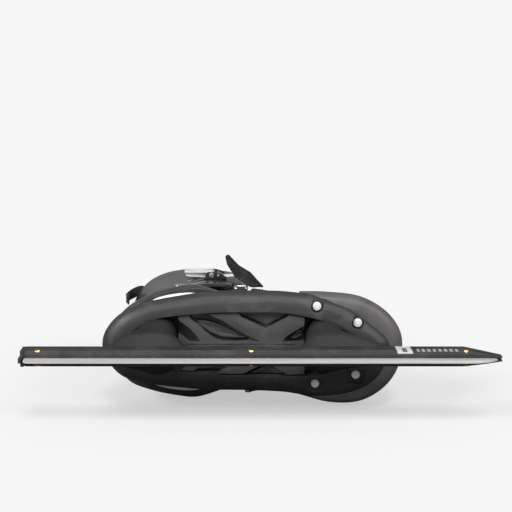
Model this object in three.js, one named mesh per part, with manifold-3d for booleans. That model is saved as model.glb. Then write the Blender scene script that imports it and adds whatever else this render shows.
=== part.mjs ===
// A right speed skate lying on its inner side, in millimetres.
// Inside the group the blade frame is used: +X from heel to toe, +Y from the running edge
// into the boot, +Z to the outer side of the foot, with the blade's mid-plane at Z = 0.
import * as THREE from "three";
import { mergeVertices } from "three/addons/utils/BufferGeometryUtils.js";
import Module from "manifold-3d";

const wasm = await Module();
wasm.setup();

// ---- Driving dimensions ----
const FIT = 0.35; // gap between neighbouring pieces
const RUNNER = { tail: -192, tip: 200, thickness: 1.2, top: 17.5 };
const TUBE = { tail: -192, nose: 204, taperFrom: 172, lip: 11.5, top: 27, half: 7.1, slot: 0.95 };
const CHAMBER = { from: -186, to: 160, low: 18, high: 24.4, half: 4.6 };
const PINS = { radius: 2.3, height: 14.8, at: [-181, -4, 174] };
const SOLE = { underside: 50, plateLow: 66, plateHigh: 70, rimTop: 84 };
const HEEL_CUP = { bolt: -84 };
const TOE_CUP = { bolt: 59 };
const BOLT = { radius: 3, head: 5, washer: 6, nut: 4.3 };
const RIVETS = {
  rivet_lateral_rear: [52, 34.5],
  rivet_lateral_front: [87, 20],
  rivet_medial_rear: [51, -34],
  rivet_medial_front: [86, -26],
};
const PIVOT = { x: -68, y: 118, ear: 16 };
const BUCKLE = { x: -33, y: 158 };
const LADDER = { half: 4.6, thickness: 1.1, rivetX: -34, lift: 2.45 };
const STRAP = { at: [-1, 111], tilt: 38, half: 8.5, thickness: 2, from: -10, standoff: 2.2 };
const TAB = { y: 114, thickness: 2.6, hinge: [2, 38] };
const RING = { x: -13.5, halfLength: 6.5, low: 101, high: 110, z: 39.5, bar: 1.1 };
const PULL_LOOP = { z: 10, width: 12, thickness: 1.8 };
const TRIM = { x: -69, y: 69.5, halfLength: 22, halfHeight: 3.2, halfDepth: 4.6 };
const TRIM_SIDES = { lateral: { z: 37.6, turn: -0.14 }, medial: { z: -39.4, turn: 0.12 } };
const FLOOR = -59.73; // the surface that the inner side lies on, in blade coordinates
const MIDDLE = { x: 3.9, y: 107 };

// Half-widths of each outline at 13 even steps of angle from the heel end to the toe end.
const SOLE_LATERAL = [0, 13.5, 28, 38.5, 45.5, 48.3, 48.1, 47.3, 46.6, 42.8, 31.8, 16.8, 0];
const SOLE_MEDIAL = [0, 13.5, 28, 34.8, 39, 41.3, 41.5, 44.5, 52.6, 52.09, 41, 23.5, 0];
const CHASSIS_LATERAL = [0, 14.5, 28, 37.3, 43, 47.2, 48.2, 47.5, 43, 34, 19.5, 8.5, 0];
const CHASSIS_MEDIAL = [0, 14.5, 28.5, 34.8, 38.6, 41, 41.4, 43, 47.5, 45, 36, 20, 0];
const RECESS_LATERAL = [0, 7.5, 17.5, 25, 28, 30, 30.5, 30, 26, 19, 10, 4.5, 0];
const RECESS_MEDIAL = [0, 6, 14, 20, 23, 25.5, 26.5, 27, 26, 22, 15, 7, 0];
const OVAL = [0, 0.34, 0.62, 0.82, 0.94, 0.99, 1, 0.98, 0.93, 0.83, 0.66, 0.38, 0];
const SHAFT = [0, 0.28, 0.53, 0.75, 0.9, 0.98, 1, 0.98, 0.93, 0.83, 0.66, 0.38, 0];

// ---- Solids ----
function solid(geometry) {
  const bare = geometry.index ? geometry.toNonIndexed() : geometry.clone();
  for (const name of Object.keys(bare.attributes)) {
    if (name !== "position") bare.deleteAttribute(name);
  }
  const merged = mergeVertices(bare, 1e-4);
  const mesh = new wasm.Mesh({
    numProp: 3,
    vertProperties: merged.attributes.position.array,
    triVerts: new Uint32Array(merged.index.array),
  });
  return new wasm.Manifold(mesh);
}

function geometryOf(body) {
  const mesh = body.getMesh();
  const geometry = new THREE.BufferGeometry();
  geometry.setAttribute("position", new THREE.BufferAttribute(mesh.vertProperties, 3));
  geometry.setIndex(new THREE.BufferAttribute(mesh.triVerts, 1));
  return geometry;
}

function largest(body) {
  const pieces = body.decompose();
  return pieces.reduce((a, b) => (a.volume() > b.volume() ? a : b));
}

// A closed skin through rings of equal point counts, with a fan on each end.
function loft(rings) {
  const count = rings[0].length;
  const points = [];
  const faces = [];
  for (const ring of rings) {
    for (const p of ring) points.push(p.x, p.y, p.z);
  }
  for (let r = 0; r + 1 < rings.length; r += 1) {
    for (let i = 0; i < count; i += 1) {
      const a = r * count + i;
      const b = r * count + ((i + 1) % count);
      faces.push(a, b, a + count, b, b + count, a + count);
    }
  }
  for (const [start, first] of [[0, true], [(rings.length - 1) * count, false]]) {
    const ring = rings[first ? 0 : rings.length - 1];
    const middle = ring.reduce((sum, p) => sum.add(p), new THREE.Vector3()).divideScalar(count);
    const hub = points.length / 3;
    points.push(middle.x, middle.y, middle.z);
    for (let i = 0; i < count; i += 1) {
      const a = start + i;
      const b = start + ((i + 1) % count);
      faces.push(...(first ? [hub, b, a] : [hub, a, b]));
    }
  }
  const geometry = new THREE.BufferGeometry();
  geometry.setAttribute("position", new THREE.BufferAttribute(new Float32Array(points), 3));
  geometry.setIndex(faces);
  const made = solid(geometry);
  return made.volume() < 0 ? solid(flipped(geometry)) : made;
}

function flipped(geometry) {
  const index = geometry.index.array;
  for (let i = 0; i < index.length; i += 3) {
    [index[i + 1], index[i + 2]] = [index[i + 2], index[i + 1]];
  }
  return geometry;
}

// A value between the 13 steps of an outline table, smooth through the steps.
function along(table, step) {
  const i = Math.min(Math.floor(step), table.length - 2);
  const t = step - i;
  const at = (k) => (k < 0 ? -table[-k] : k > 12 ? -table[24 - k] : table[k]);
  const [a, b, c, d] = [at(i - 1), at(i), at(i + 1), at(i + 2)];
  return b + 0.5 * t * (c - a + t * (2 * a - 5 * b + 4 * c - d + t * (3 * (b - c) + d - a)));
}

// One level ring of a foot-shaped outline at height y.
function ring({ y, back, front, lateral, medial, inset = 0, shift = 0, steps = 15 }) {
  const points = [];
  const reach = (front - back) / 2 - inset;
  const middle = (front + back) / 2;
  for (let k = 0; k < 2 * steps; k += 1) {
    const side = k <= steps ? 1 : -1;
    const step = k <= steps ? k : 2 * steps - k;
    const angle = (Math.PI * step) / steps;
    const width = along(side > 0 ? lateral : medial, (12 * step) / steps);
    const narrowed = width - inset * Math.sin(angle);
    points.push(new THREE.Vector3(middle - reach * Math.cos(angle), y, shift + side * narrowed));
  }
  return points;
}

const scaled = (table, factor) => table.map((value) => value * factor);
const mixed = (a, b, share) => a.map((value, i) => value * (1 - share) + b[i] * share);

function box(from, to) {
  const size = to.map((value, i) => value - from[i]);
  const geometry = new THREE.BoxGeometry(...size);
  geometry.translate(...from.map((value, i) => value + size[i] / 2));
  return solid(geometry);
}

// A round bar along one axis, centred on a point.
function bar(radius, length, axis, at, sides = 20) {
  const geometry = new THREE.CylinderGeometry(radius, radius, length, sides);
  if (axis === "x") geometry.rotateZ(Math.PI / 2);
  if (axis === "z") geometry.rotateX(Math.PI / 2);
  geometry.translate(...at);
  return solid(geometry);
}

// An outline in X and Y, raised along Z between two levels.
function plateXY(points, low, high) {
  const shape = new THREE.Shape(points.map(([x, y]) => new THREE.Vector2(x, y)));
  const geometry = new THREE.ExtrudeGeometry(shape, { depth: high - low, bevelEnabled: false });
  geometry.translate(0, 0, low);
  return solid(geometry);
}

// An outline in X and Z, raised along Y between two levels and then put in its place.
function plateXZ(points, low, high, place = (geometry) => geometry) {
  const shape = new THREE.Shape(points.map(([x, z]) => new THREE.Vector2(x, -z)));
  const geometry = new THREE.ExtrudeGeometry(shape, { depth: high - low, bevelEnabled: false });
  geometry.rotateX(-Math.PI / 2);
  geometry.translate(0, low, 0);
  return solid(place(geometry));
}

// A flat band of a given width along Y that follows a smooth line in X and Z.
function band(line, thickness, low, high, divisions, place) {
  const curve = new THREE.CatmullRomCurve3(line.map(([x, z]) => new THREE.Vector3(x, 0, z)));
  const outer = [];
  const inner = [];
  for (let i = 0; i <= divisions; i += 1) {
    const at = curve.getPointAt(i / divisions);
    const way = curve.getTangentAt(i / divisions);
    const off = thickness / 2;
    outer.push([at.x - way.z * off, at.z + way.x * off]);
    inner.push([at.x + way.z * off, at.z - way.x * off]);
  }
  return plateXZ([...outer, ...inner.reverse()], low, high, place);
}

// A wedge of space round the cuff pivot, between two angles from the toe direction.
function wedge(fromDegrees, toDegrees, reach = 260) {
  const points = [[PIVOT.x, PIVOT.y]];
  const stepCount = 6;
  for (let i = 0; i <= stepCount; i += 1) {
    const degrees = fromDegrees + ((toDegrees - fromDegrees) * i) / stepCount;
    const angle = THREE.MathUtils.degToRad(degrees);
    points.push([PIVOT.x + reach * Math.cos(angle), PIVOT.y + reach * Math.sin(angle)]);
  }
  return plateXY(points, -90, 90);
}

// ---- Scene graph ----
const skate = new THREE.Group();
skate.position.set(-MIDDLE.x, -MIDDLE.y, -FLOOR);

function add(name, body, material) {
  const mesh = new THREE.Mesh(geometryOf(body), new THREE.MeshStandardMaterial(material));
  mesh.name = name;
  skate.add(mesh);
}

const STEEL = { color: 0xd8d8da, roughness: 0.2, metalness: 1 };
const ANODISED = { color: 0x4a4b50, roughness: 0.45, metalness: 0.6 };
const BRASS = { color: 0xc9a34e, roughness: 0.35, metalness: 1 };
const NYLON = { color: 0x3d3c40, roughness: 0.5, metalness: 0 };
const GLOSS = { color: 0x35353a, roughness: 0.2, metalness: 0 };
const RUBBER = { color: 0x4a474b, roughness: 0.7, metalness: 0 };
const FABRIC = { color: 0x1c1c1e, roughness: 0.9, metalness: 0 };
const SILVER = { color: 0xd4d6d8, roughness: 0.3, metalness: 1 };
const CLEAR = { color: 0xe9ebee, roughness: 0.25, metalness: 0 };
const CORK = { color: 0x6b5a45, roughness: 0.9, metalness: 0 };

// ---- Blade ----
function buildBlade() {
  const edge = new THREE.Shape();
  edge.moveTo(RUNNER.tail, 6);
  edge.quadraticCurveTo(RUNNER.tail, 0, RUNNER.tail + 6, 0);
  edge.lineTo(RUNNER.tip - 22, 0);
  edge.quadraticCurveTo(RUNNER.tip - 6, 1, RUNNER.tip, 10);
  edge.lineTo(RUNNER.tip - 10, RUNNER.top);
  edge.lineTo(RUNNER.tail, RUNNER.top);
  const plate = new THREE.ExtrudeGeometry(edge, {
    depth: RUNNER.thickness,
    bevelEnabled: false,
    curveSegments: 8,
  });
  plate.translate(0, 0, -RUNNER.thickness / 2);
  const section = new THREE.Shape();
  const { lip, top, half, slot } = TUBE;
  section.moveTo(-slot, lip);
  section.lineTo(-slot, CHAMBER.low);
  section.lineTo(slot, CHAMBER.low);
  section.lineTo(slot, lip);
  section.lineTo(4, lip);
  section.lineTo(half - 0.2, lip + 2.3);
  section.lineTo(half, top - 6);
  section.lineTo(half, top - 1.6);
  section.quadraticCurveTo(half, top, half - 1.6, top);
  section.lineTo(-half + 1.6, top);
  section.quadraticCurveTo(-half, top, -half, top - 1.6);
  section.lineTo(-half, top - 6);
  section.lineTo(-half + 0.2, lip + 2.3);
  section.lineTo(-4, lip);
  const length = TUBE.nose - TUBE.tail;
  const profile = new THREE.ExtrudeGeometry(section, {
    depth: length,
    bevelEnabled: false,
    curveSegments: 3,
  });
  profile.rotateY(Math.PI / 2);
  profile.translate(TUBE.tail, 0, 0);
  let tube = solid(profile);
  tube = tube.subtract(box([CHAMBER.from - 20, CHAMBER.low - 0.1, -CHAMBER.half],
    [CHAMBER.to, CHAMBER.high, CHAMBER.half]));
  for (const side of [1, -1]) {
    const cheek = [[TUBE.taperFrom, side * (half + 0.05)], [TUBE.nose + 1, side * 1.75],
      [TUBE.nose + 1, side * 12], [TUBE.taperFrom, side * 12]];
    tube = tube.subtract(plateXZ(side > 0 ? cheek : cheek.reverse(), 0, 40));
  }
  tube = tube.subtract(plateXY([[TUBE.taperFrom, top + 0.05], [TUBE.nose + 1, 19],
    [TUBE.nose + 1, 40], [TUBE.taperFrom, 40]], -12, 12));
  let runner = solid(plate);
  PINS.at.forEach((x, i) => {
    const hole = bar(PINS.radius + FIT / 2, 40, "z", [x, PINS.height, 0]);
    const pin = bar(PINS.radius - FIT / 2, 40, "z", [x, PINS.height, 0]);
    const body = solid(profile).add(box([x - 5, lip, -1.5], [x + 5, lip + 6, 1.5]));
    add(["pin_rear", "pin_middle", "pin_front"][i], pin.intersect(body), BRASS);
    tube = tube.subtract(hole);
    runner = runner.subtract(hole);
  });
  for (const x of [HEEL_CUP.bolt, TOE_CUP.bolt]) {
    tube = tube.subtract(bar(BOLT.radius + FIT, 20, "y", [x, top, 0]));
  }
  add("runner", runner, STEEL);
  add("blade_tube", largest(tube), ANODISED);
  const cap = box([TUBE.tail - 3.4, lip + 0.2, -half + 0.3], [TUBE.tail - 0.4, top - 0.4, half - 0.3]);
  const plug = box([TUBE.tail - 1, CHAMBER.low + 0.4, -CHAMBER.half + 0.4],
    [TUBE.tail + 9, CHAMBER.high - 0.4, CHAMBER.half - 0.4]);
  const step = box([TUBE.tail - 4.2, lip - 6, -2.2], [TUBE.tail - 1.6, lip + 3, 2.2]);
  add("tail_cap", cap.add(plug).add(step), NYLON);
}

// ---- Cups and their bolts ----
function cupRing(y, back, front, half) {
  return ring({ y, back, front, lateral: scaled(OVAL, half), medial: scaled(OVAL, half), steps: 12 });
}

function buildCup(name, at, levels) {
  const skin = loft(levels.map(([y, back, front, half]) => cupRing(y, back, front, half)));
  const room = box([-140, 0, -60], [140, SOLE.underside - FIT, 60]).add(recess(FIT, SOLE.underside - 2));
  const body = skin.intersect(room);
  const bore = bar(BOLT.radius + FIT, 90, "y", [at, 60, 0]);
  add(name, body.subtract(bore), NYLON);
  const head = bar(BOLT.head, 2.8, "y", [at, 77.9, 0]).subtract(bar(2.4, 2, "y", [at, 79, 0], 6));
  const shank = bar(BOLT.radius, 57.6, "y", [at, 48, 0]);
  add(name.replace("cup", "bolt"), head.add(shank), STEEL);
  const washer = bar(BOLT.washer, 0.9, "y", [at, 75.8, 0]);
  add(name.replace("cup", "washer"), washer.subtract(bar(BOLT.radius + FIT, 4, "y", [at, 75.8, 0])), STEEL);
  const nut = bar(BOLT.nut, 3.2, "y", [at, 22.3, 0], 6);
  add(name.replace("cup", "nut"), nut.subtract(bar(BOLT.radius + 0.3, 8, "y", [at, 22.3, 0])), STEEL);
}

// ---- Chassis ----
const CHASSIS_ENDS = { back: -133.5, front: 117.5 };
const CHASSIS_LEVELS = [
  [SOLE.underside, 17, 0],
  [51.5, 10, 0],
  [55, 4.5, 0],
  [60, 1.2, -0.6],
  [66, 0.2, -2.2],
  [74, 0, -4.2],
  [SOLE.rimTop, 0.6, -6.2],
];

function chassisRings(extra, levels) {
  return levels.map(([y, inset, shift]) => ring({
    y, inset: inset + extra, shift, lateral: CHASSIS_LATERAL, medial: CHASSIS_MEDIAL, ...CHASSIS_ENDS,
  }));
}

function recess(extra, low) {
  return loft([low, SOLE.plateLow - extra].map((y) => ring({
    y, back: -114, front: 98, inset: extra + (y - SOLE.underside) * 0.06,
    lateral: RECESS_LATERAL, medial: RECESS_MEDIAL,
  })));
}

// The outside of the bead that stands proud of one side wall of the chassis.
function trimBead(extra, { z, turn }) {
  const geometry = new THREE.SphereGeometry(1, 32, 20);
  geometry.scale(TRIM.halfLength + extra, TRIM.halfHeight + extra, TRIM.halfDepth + extra);
  geometry.rotateY(turn);
  geometry.translate(TRIM.x, TRIM.y, z);
  return solid(geometry);
}

function buildChassis(bootSkin) {
  let body = loft(chassisRings(0, CHASSIS_LEVELS));
  const inner = [[SOLE.plateHigh, 3.2, -3.3], [76, 3.2, -4.6], [SOLE.rimTop + 1, 3.8, -6.4]];
  body = body.subtract(loft(chassisRings(0, inner)));
  body = body.subtract(recess(0, SOLE.underside - 1));
  body = body.subtract(bootSkin);
  for (const [x, z] of Object.values(RIVETS)) {
    body = body.subtract(bar(5.2, 12, "y", [x, 50, z]));
    body = body.subtract(bar(2.4, 60, "y", [x, 60, z], 14));
    body = body.subtract(bar(4.4, 6, "y", [x, SOLE.plateHigh + 3, z], 20));
  }
  for (const x of [HEEL_CUP.bolt, TOE_CUP.bolt]) {
    body = body.subtract(bar(BOLT.radius + FIT, 30, "y", [x, 68, 0]));
  }
  for (const [side, place] of Object.entries(TRIM_SIDES)) {
    body = body.subtract(trimBead(FIT, place).subtract(loft(chassisRings(2, CHASSIS_LEVELS))));
    const bead = trimBead(0, place).subtract(loft(chassisRings(1.7, CHASSIS_LEVELS)));
    add(`trim_${side}`, largest(bead), SILVER);
  }
  add("chassis", largest(body), NYLON);
  for (const [name, [x, z]] of Object.entries(RIVETS)) {
    const head = bar(3.7, 1.4, "y", [x, 55.2, z], 28);
    const shank = bar(2, 16, "y", [x, 63.2, z], 14);
    const upset = bar(3.4, 1.1, "y", [x, 70.9, z], 20);
    add(name, head.add(shank).add(upset), SILVER);
  }
}

// ---- Ribs in the recess ----
function strip([ax, az], [bx, bz], width) {
  const length = Math.hypot(bx - ax, bz - az);
  const [ox, oz] = [((az - bz) * width) / 2 / length, ((bx - ax) * width) / 2 / length];
  const points = [[ax + ox, az + oz], [bx + ox, bz + oz], [bx - ox, bz - oz], [ax - ox, az - oz]];
  const made = plateXZ(points, 52.5, SOLE.plateLow - FIT);
  return made.volume() < 0 ? plateXZ(points.reverse(), 52.5, SOLE.plateLow - FIT) : made;
}

function buildLattice() {
  let ribs = strip([-72, 0], [45, 0], 11);
  for (const side of [1, -1]) {
    ribs = ribs.add(strip([-80, side * 32], [-38, side * 1], 8));
    ribs = ribs.add(strip([-44, side * 30], [8, side * 2], 9));
    ribs = ribs.add(strip([4, side * 2], [62, side * 27], 9));
  }
  ribs = ribs.intersect(recess(FIT, SOLE.underside));
  ribs = ribs.subtract(box([-110, 40, -40], [-66.4, 70, 40])).subtract(box([41.4, 40, -40], [90, 70, 40]));
  add("rib_lattice", largest(ribs), NYLON);
}

// ---- Boot ----
// Levels of the boot's outside: height, back, front, outer half-width, inner half-width, oval share, shift.
const BOOT_LEVELS = [
  [73, -127, 119, 1, 1, 0, -4.5, 5],
  [84, -127, 121, 1, 1.02, 0, -6, 3.8],
  [92, -127, 119, 0.93, 1.06, 0.05, -6.5, 3],
  [100, -125, 108, 0.9, 1.09, 0.3, -7, 3],
  [108, -122, 88, 0.88, 1.08, 0.6, -7, 3],
  [116, -118, 62, 0.85, 1.05, 0.8, -7, 3],
  [126, -114, 38, 0.83, 1.02, 1, -6.5, 3],
  [138, -111, 20, 0.82, 0.98, 1, -6, 3],
  [152, -110, 9, 0.81, 0.96, 1, -5.5, 3],
  [172, -110, 4, 0.81, 0.95, 1, -5, 3],
  [200, -114, 2, 0.84, 0.98, 1, -5, 3],
];

function bootRing([y, back, front, outer, innerHalf, oval, shift, inset], extra) {
  return ring({
    y,
    back,
    front,
    shift,
    inset: inset + extra,
    lateral: mixed(scaled(SOLE_LATERAL, outer), scaled(SHAFT, 48 * outer), oval),
    medial: mixed(scaled(SOLE_MEDIAL, innerHalf), scaled(SHAFT, 46 * innerHalf), oval),
  });
}

function bootLoft(extra, low, high) {
  const levels = BOOT_LEVELS.map((level) => [...level]);
  levels[0][0] = low;
  levels[levels.length - 1][0] = high;
  return loft(levels.map((level) => bootRing(level, extra)));
}

// The skin's distance from the blade plane at a height and a place along the foot.
function skinZ(levels, y, x, side, extra = 0) {
  const upper = Math.max(1, levels.findIndex((level) => level[0] >= y));
  const share = (y - levels[upper - 1][0]) / (levels[upper][0] - levels[upper - 1][0]);
  const level = mixed(levels[upper - 1], levels[upper], share);
  const points = bootRing(level, extra).filter((p) => side * (p.z - level[6]) >= -1e-6);
  points.sort((a, b) => a.x - b.x);
  const i = points.findIndex((p) => p.x >= x);
  const [a, b] = [points[i - 1], points[i]];
  return a.z + ((b.z - a.z) * (x - a.x)) / (b.x - a.x);
}

// The stretch of a level ring that runs round the toe side between two places.
function ringPath(levels, y, fromX, toX, extra) {
  const upper = Math.max(1, levels.findIndex((level) => level[0] >= y));
  const share = (y - levels[upper - 1][0]) / (levels[upper][0] - levels[upper - 1][0]);
  const level = mixed(levels[upper - 1], levels[upper], share);
  const points = bootRing(level, extra);
  const outerSide = points.filter((p) => p.z > level[6] && p.x > toX).sort((a, b) => b.x - a.x);
  const innerSide = points.filter((p) => p.z <= level[6] && p.x > fromX).sort((a, b) => a.x - b.x);
  const line = [...innerSide, ...outerSide].map((p) => [p.x, p.z]);
  line.unshift([fromX, skinZ(levels, y, fromX, -1, extra)]);
  line.push([toX, skinZ(levels, y, toX, 1, extra)]);
  return line;
}

function rimSkin() {
  return bootLoft(-FIT, 72.6, 200);
}

function buildBoot() {
  const outer = bootLoft(0, 73, 200);
  const hollow = bootLoft(3.5, 75.3, 201);
  const pivotHole = bar(2.6, 160, "z", [PIVOT.x, PIVOT.y, 0]);
  const shell = outer.subtract(hollow);
  const lowPart = wedge(-185, 33).add(bar(12, 180, "z", [PIVOT.x, PIVOT.y, 0], 24));
  const throat = box([-30, 128, -19], [80, 220, 13]);
  let upper = shell.intersect(lowPart).subtract(throat).subtract(pivotHole);
  for (const x of [HEEL_CUP.bolt, TOE_CUP.bolt]) {
    upper = upper.subtract(bar(BOLT.radius + FIT, 12, "y", [x, 73, 0]));
  }
  for (const [x, z] of Object.values(RIVETS)) {
    upper = upper.subtract(bar(4.2, 3, "y", [x, 71.5, z], 14));
  }
  const [rivetX, rivetY, rivetZ] = strapRivet();
  upper = upper.subtract(bar(1.9, 12, "z", [rivetX, rivetY, rivetZ]));
  add("boot_upper", largest(upper), FABRIC);
  const padOuter = bootLoft(-1.4, 73, 203);
  const padInner = bootLoft(8, 75.3, 204);
  const highPart = wedge(45, 171).subtract(bar(13.6, 180, "z", [PIVOT.x, PIVOT.y, 0], 24));
  let collar = padOuter.subtract(padInner).intersect(highPart);
  collar = collar.subtract(box([-34, 110, -21], [80, 240, 15]));
  const fasteners = [[LADDER.rivetX, ladderRivetZ() + 4], [BUCKLE.x, buckleFloor() - 5.6]];
  for (const [x, z] of fasteners) {
    const at = [x, BUCKLE.y, z];
    collar = collar.subtract(bar(3.3, 3, "z", at, 14));
  }
  add("collar", largest(collar), FABRIC);
  let tongue = bootLoft(4.6, 75.3, 214).subtract(bootLoft(11, 70, 215));
  tongue = tongue.intersect(box([-20, 131, -17], [60, 216, 11]));
  add("tongue", largest(tongue), FABRIC);
  const board = bootLoft(4.4, 75.7, 201).intersect(box([-140, 75.7, -70], [140, 79, 70]));
  let flat = board;
  for (const x of [HEEL_CUP.bolt, TOE_CUP.bolt]) {
    flat = flat.subtract(bar(BOLT.washer + 0.6, 12, "y", [x, 78, 0]));
  }
  add("insole_board", largest(flat), CORK);
  const bed = bootLoft(4.8, 75.7, 201).intersect(box([-140, 79.7, -70], [140, 84, 70]));
  add("footbed", largest(bed), FABRIC);
}

function buildToeCap() {
  const levels = [[56.5, 11], [59, 5], [63, 2], [70, 0.4], [80, 0], [90, 1]];
  const outside = loft(levels.map(([y, inset]) => ring({
    y, inset, back: -131, front: 127.8, shift: (55 - y) * 0.2, lateral: SOLE_LATERAL, medial: SOLE_MEDIAL,
  })));
  let cap = outside.intersect(box([38, 50, -80], [140, 90, 80]));
  cap = cap.subtract(loft(chassisRings(-FIT, [[49, 14, 0], ...CHASSIS_LEVELS, [94, 1, -7]])));
  cap = cap.subtract(rimSkin());
  add("toe_cap", largest(cap), RUBBER);
}

// A hard counter that wraps the heel above the chassis rim.
function buildCounter() {
  const levels = [[84.5, 1.5], [88, -0.4], [93, -0.8], [99.5, 2.5]];
  const rings = levels.map(([y, inset]) => ring({
    y, inset, back: -129, front: 116, shift: -5.5,
    lateral: scaled(SOLE_LATERAL, 1.07), medial: scaled(SOLE_MEDIAL, 1.27),
  }));
  let counter = loft(rings).intersect(box([-140, 84.5, FLOOR + 0.3], [-19.5, 99.5, 60]));
  counter = counter.subtract(bootLoft(-FIT, 72.6, 200));
  add("heel_counter", largest(counter), GLOSS);
}

// ---- Cuff ----
const CUFF_LEVELS = [
  [98, -121, 10, 0.93, 1.11, 1, -6.5, 0],
  [112, -120, 10, 0.93, 1.11, 1, -6.5, 0],
  [126, -118, 10, 0.92, 1.1, 1, -6, 0],
  [140, -116, 10, 0.9, 1.09, 1, -5.5, 0],
  [160, -115, 8, 0.88, 1.07, 1, -5, 0],
  [180, -116, 7, 0.87, 1.06, 1, -5, 0],
  [196, -118, 6, 0.88, 1.07, 1, -5, 0],
];

function cuffLoft(extra) {
  return loft(CUFF_LEVELS.map(([y, ...rest], i) => {
    const end = i === 0 ? -1 : i === CUFF_LEVELS.length - 1 ? 1 : 0;
    return bootRing([y + end * Math.sign(extra) * 2, ...rest], extra);
  }));
}

function buildCuff() {
  const shell = cuffLoft(0).subtract(cuffLoft(2.6));
  const cover = wedge(22, 172).add(bar(PIVOT.ear, 180, "z", [PIVOT.x, PIVOT.y, 0], 28));
  let cuff = shell.intersect(cover);
  cuff = cuff.subtract(box([-22, 90, -80], [60, 240, 80]));
  cuff = cuff.subtract(bar(2.6, 180, "z", [PIVOT.x, PIVOT.y, 0]));
  cuff = cuff.subtract(bar(1.9, 60, "z", [BUCKLE.x, BUCKLE.y, 30]));
  cuff = cuff.subtract(bar(1.9, 30, "z", [LADDER.rivetX, BUCKLE.y, ladderRivetZ()]));
  add("cuff", largest(cuff), GLOSS);
  for (const side of [1, -1]) {
    const skinHere = skinZ(CUFF_LEVELS, PIVOT.y, PIVOT.x, side);
    const inside = skinZ(BOOT_LEVELS, PIVOT.y, PIVOT.x, side, 3.5) - side * 2.6;
    const outside = skinHere + side * 1.45;
    const length = Math.abs(outside - inside);
    const shank = bar(2.3, length, "z", [PIVOT.x, PIVOT.y, (outside + inside) / 2]);
    const head = bar(5.5, 1.2, "z", [PIVOT.x, PIVOT.y, outside], 24);
    const upset = bar(4.4, 1.2, "z", [PIVOT.x, PIVOT.y, inside], 20);
    add(side > 0 ? "cuff_rivet_lateral" : "cuff_rivet_medial", shank.add(head).add(upset), SILVER);
  }
}

// ---- Buckle on the cuff ----
function buckleFloor() {
  return skinZ(CUFF_LEVELS, BUCKLE.y, BUCKLE.x, 1) + 0.6;
}

function buildBuckle() {
  const { x, y } = BUCKLE;
  const z = buckleFloor();
  const leverPin = [x - 8, y, z + 4.4];
  const pawlPin = [x - 2, y, z + 4.3];
  const floor = box([x - 14, y - 8, z], [x + 6, y + 8, z + 1.2]);
  const side = [[-14, 0], [6, 0], [6, 2.4], [1.5, 5.4], [-4.5, 7.2], [-11.5, 7.3], [-13.6, 5.4]];
  const outline = side.map(([dx, dz]) => [x + dx, z + dz]);
  let base = floor.add(plateXZ(outline, y - 8, y - 6.6)).add(plateXZ(outline, y + 6.6, y + 8));
  base = base.subtract(cuffLoft(-0.3));
  base = base.subtract(bar(1.9, 10, "z", [x, y, z]));
  base = base.subtract(bar(1.35, 40, "y", leverPin, 14));
  base = base.subtract(bar(1.1, 40, "y", pawlPin, 12));
  add("buckle_base", base, NYLON);
  const shank = bar(1.6, 7.4, "z", [x, y, z - 2.1]);
  const head = bar(2.9, 0.4, "z", [x, y, z + 1.6], 20);
  add("buckle_rivet", shank.add(head).add(bar(2.9, 0.8, "z", [x, y, z - 5.6], 18)), SILVER);
  const pinHead = bar(2.2, 0.9, "y", [leverPin[0], y - 8.8, leverPin[2]], 20);
  add("lever_pin", bar(1.05, 17.2, "y", leverPin, 14).add(pinHead), SILVER);
  add("pawl_pin", bar(0.8, 17, "y", pawlPin, 12), SILVER);
  const blade = box([x - 33, y - 6.2, z + 6.4], [x - 7.4, y + 6.2, z + 7.6]);
  const cheekLow = box([x - 10.2, y - 6.2, z + 3.2], [x - 5.8, y - 5, z + 6.6]);
  const cheekHigh = box([x - 10.2, y + 5, z + 3.2], [x - 5.8, y + 6.2, z + 6.6]);
  let arm = blade.add(cheekLow).add(cheekHigh);
  arm = arm.subtract(bar(1.35, 40, "y", leverPin, 14));
  arm = arm.subtract(box([x - 29, y - 3, z + 5], [x - 21, y + 3, z + 9]));
  add("lever", arm, CLEAR);
  let pawl = bar(1.15, 6.4, "y", pawlPin, 14);
  pawl = pawl.add(box([pawlPin[0], y - 3.2, z + 3.9], [pawlPin[0] + 3.2, y + 3.2, z + 4.7]));
  add("pawl", pawl.subtract(bar(0.95, 20, "y", pawlPin, 12)), SILVER);
  const springAt = [pawlPin[0], y + 4.3, pawlPin[2]];
  add("pawl_spring", bar(1.2, 1.1, "y", springAt, 14).subtract(bar(0.95, 6, "y", springAt, 12)), STEEL);
}

// ---- Ladder strap, from the inner side of the cuff round the shin to the buckle ----
function buildLadder() {
  const { x, y } = BUCKLE;
  const z = buckleFloor();
  const { half, lift, rivetX, thickness } = LADDER;
  const low = y - half;
  const line = ringPath(CUFF_LEVELS, low, rivetX - 7, -2, -1.3);
  line.push([x + 19, z + 2.4], [x + 10, z + lift + 0.4], [x + 4, z + lift], [x - 14, z + lift],
    [x - 32, z + lift + 0.6]);
  const rivetZ = ladderRivetZ();
  const strap = band(line, thickness, low, y + half, 36);
  add("ladder_strap", strap.subtract(bar(1.9, 16, "z", [rivetX, y, rivetZ])), CLEAR);
  const shank = bar(1.5, 7, "z", [rivetX, y, rivetZ + 0.5], 14);
  const head = bar(2.9, 0.8, "z", [rivetX, y, rivetZ - 2.9], 18);
  add("ladder_rivet", shank.add(head).add(bar(2.9, 0.8, "z", [rivetX, y, rivetZ + 4], 18)), SILVER);
}

function ladderRivetZ() {
  return skinZ(CUFF_LEVELS, BUCKLE.y, LADDER.rivetX, -1);
}

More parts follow.
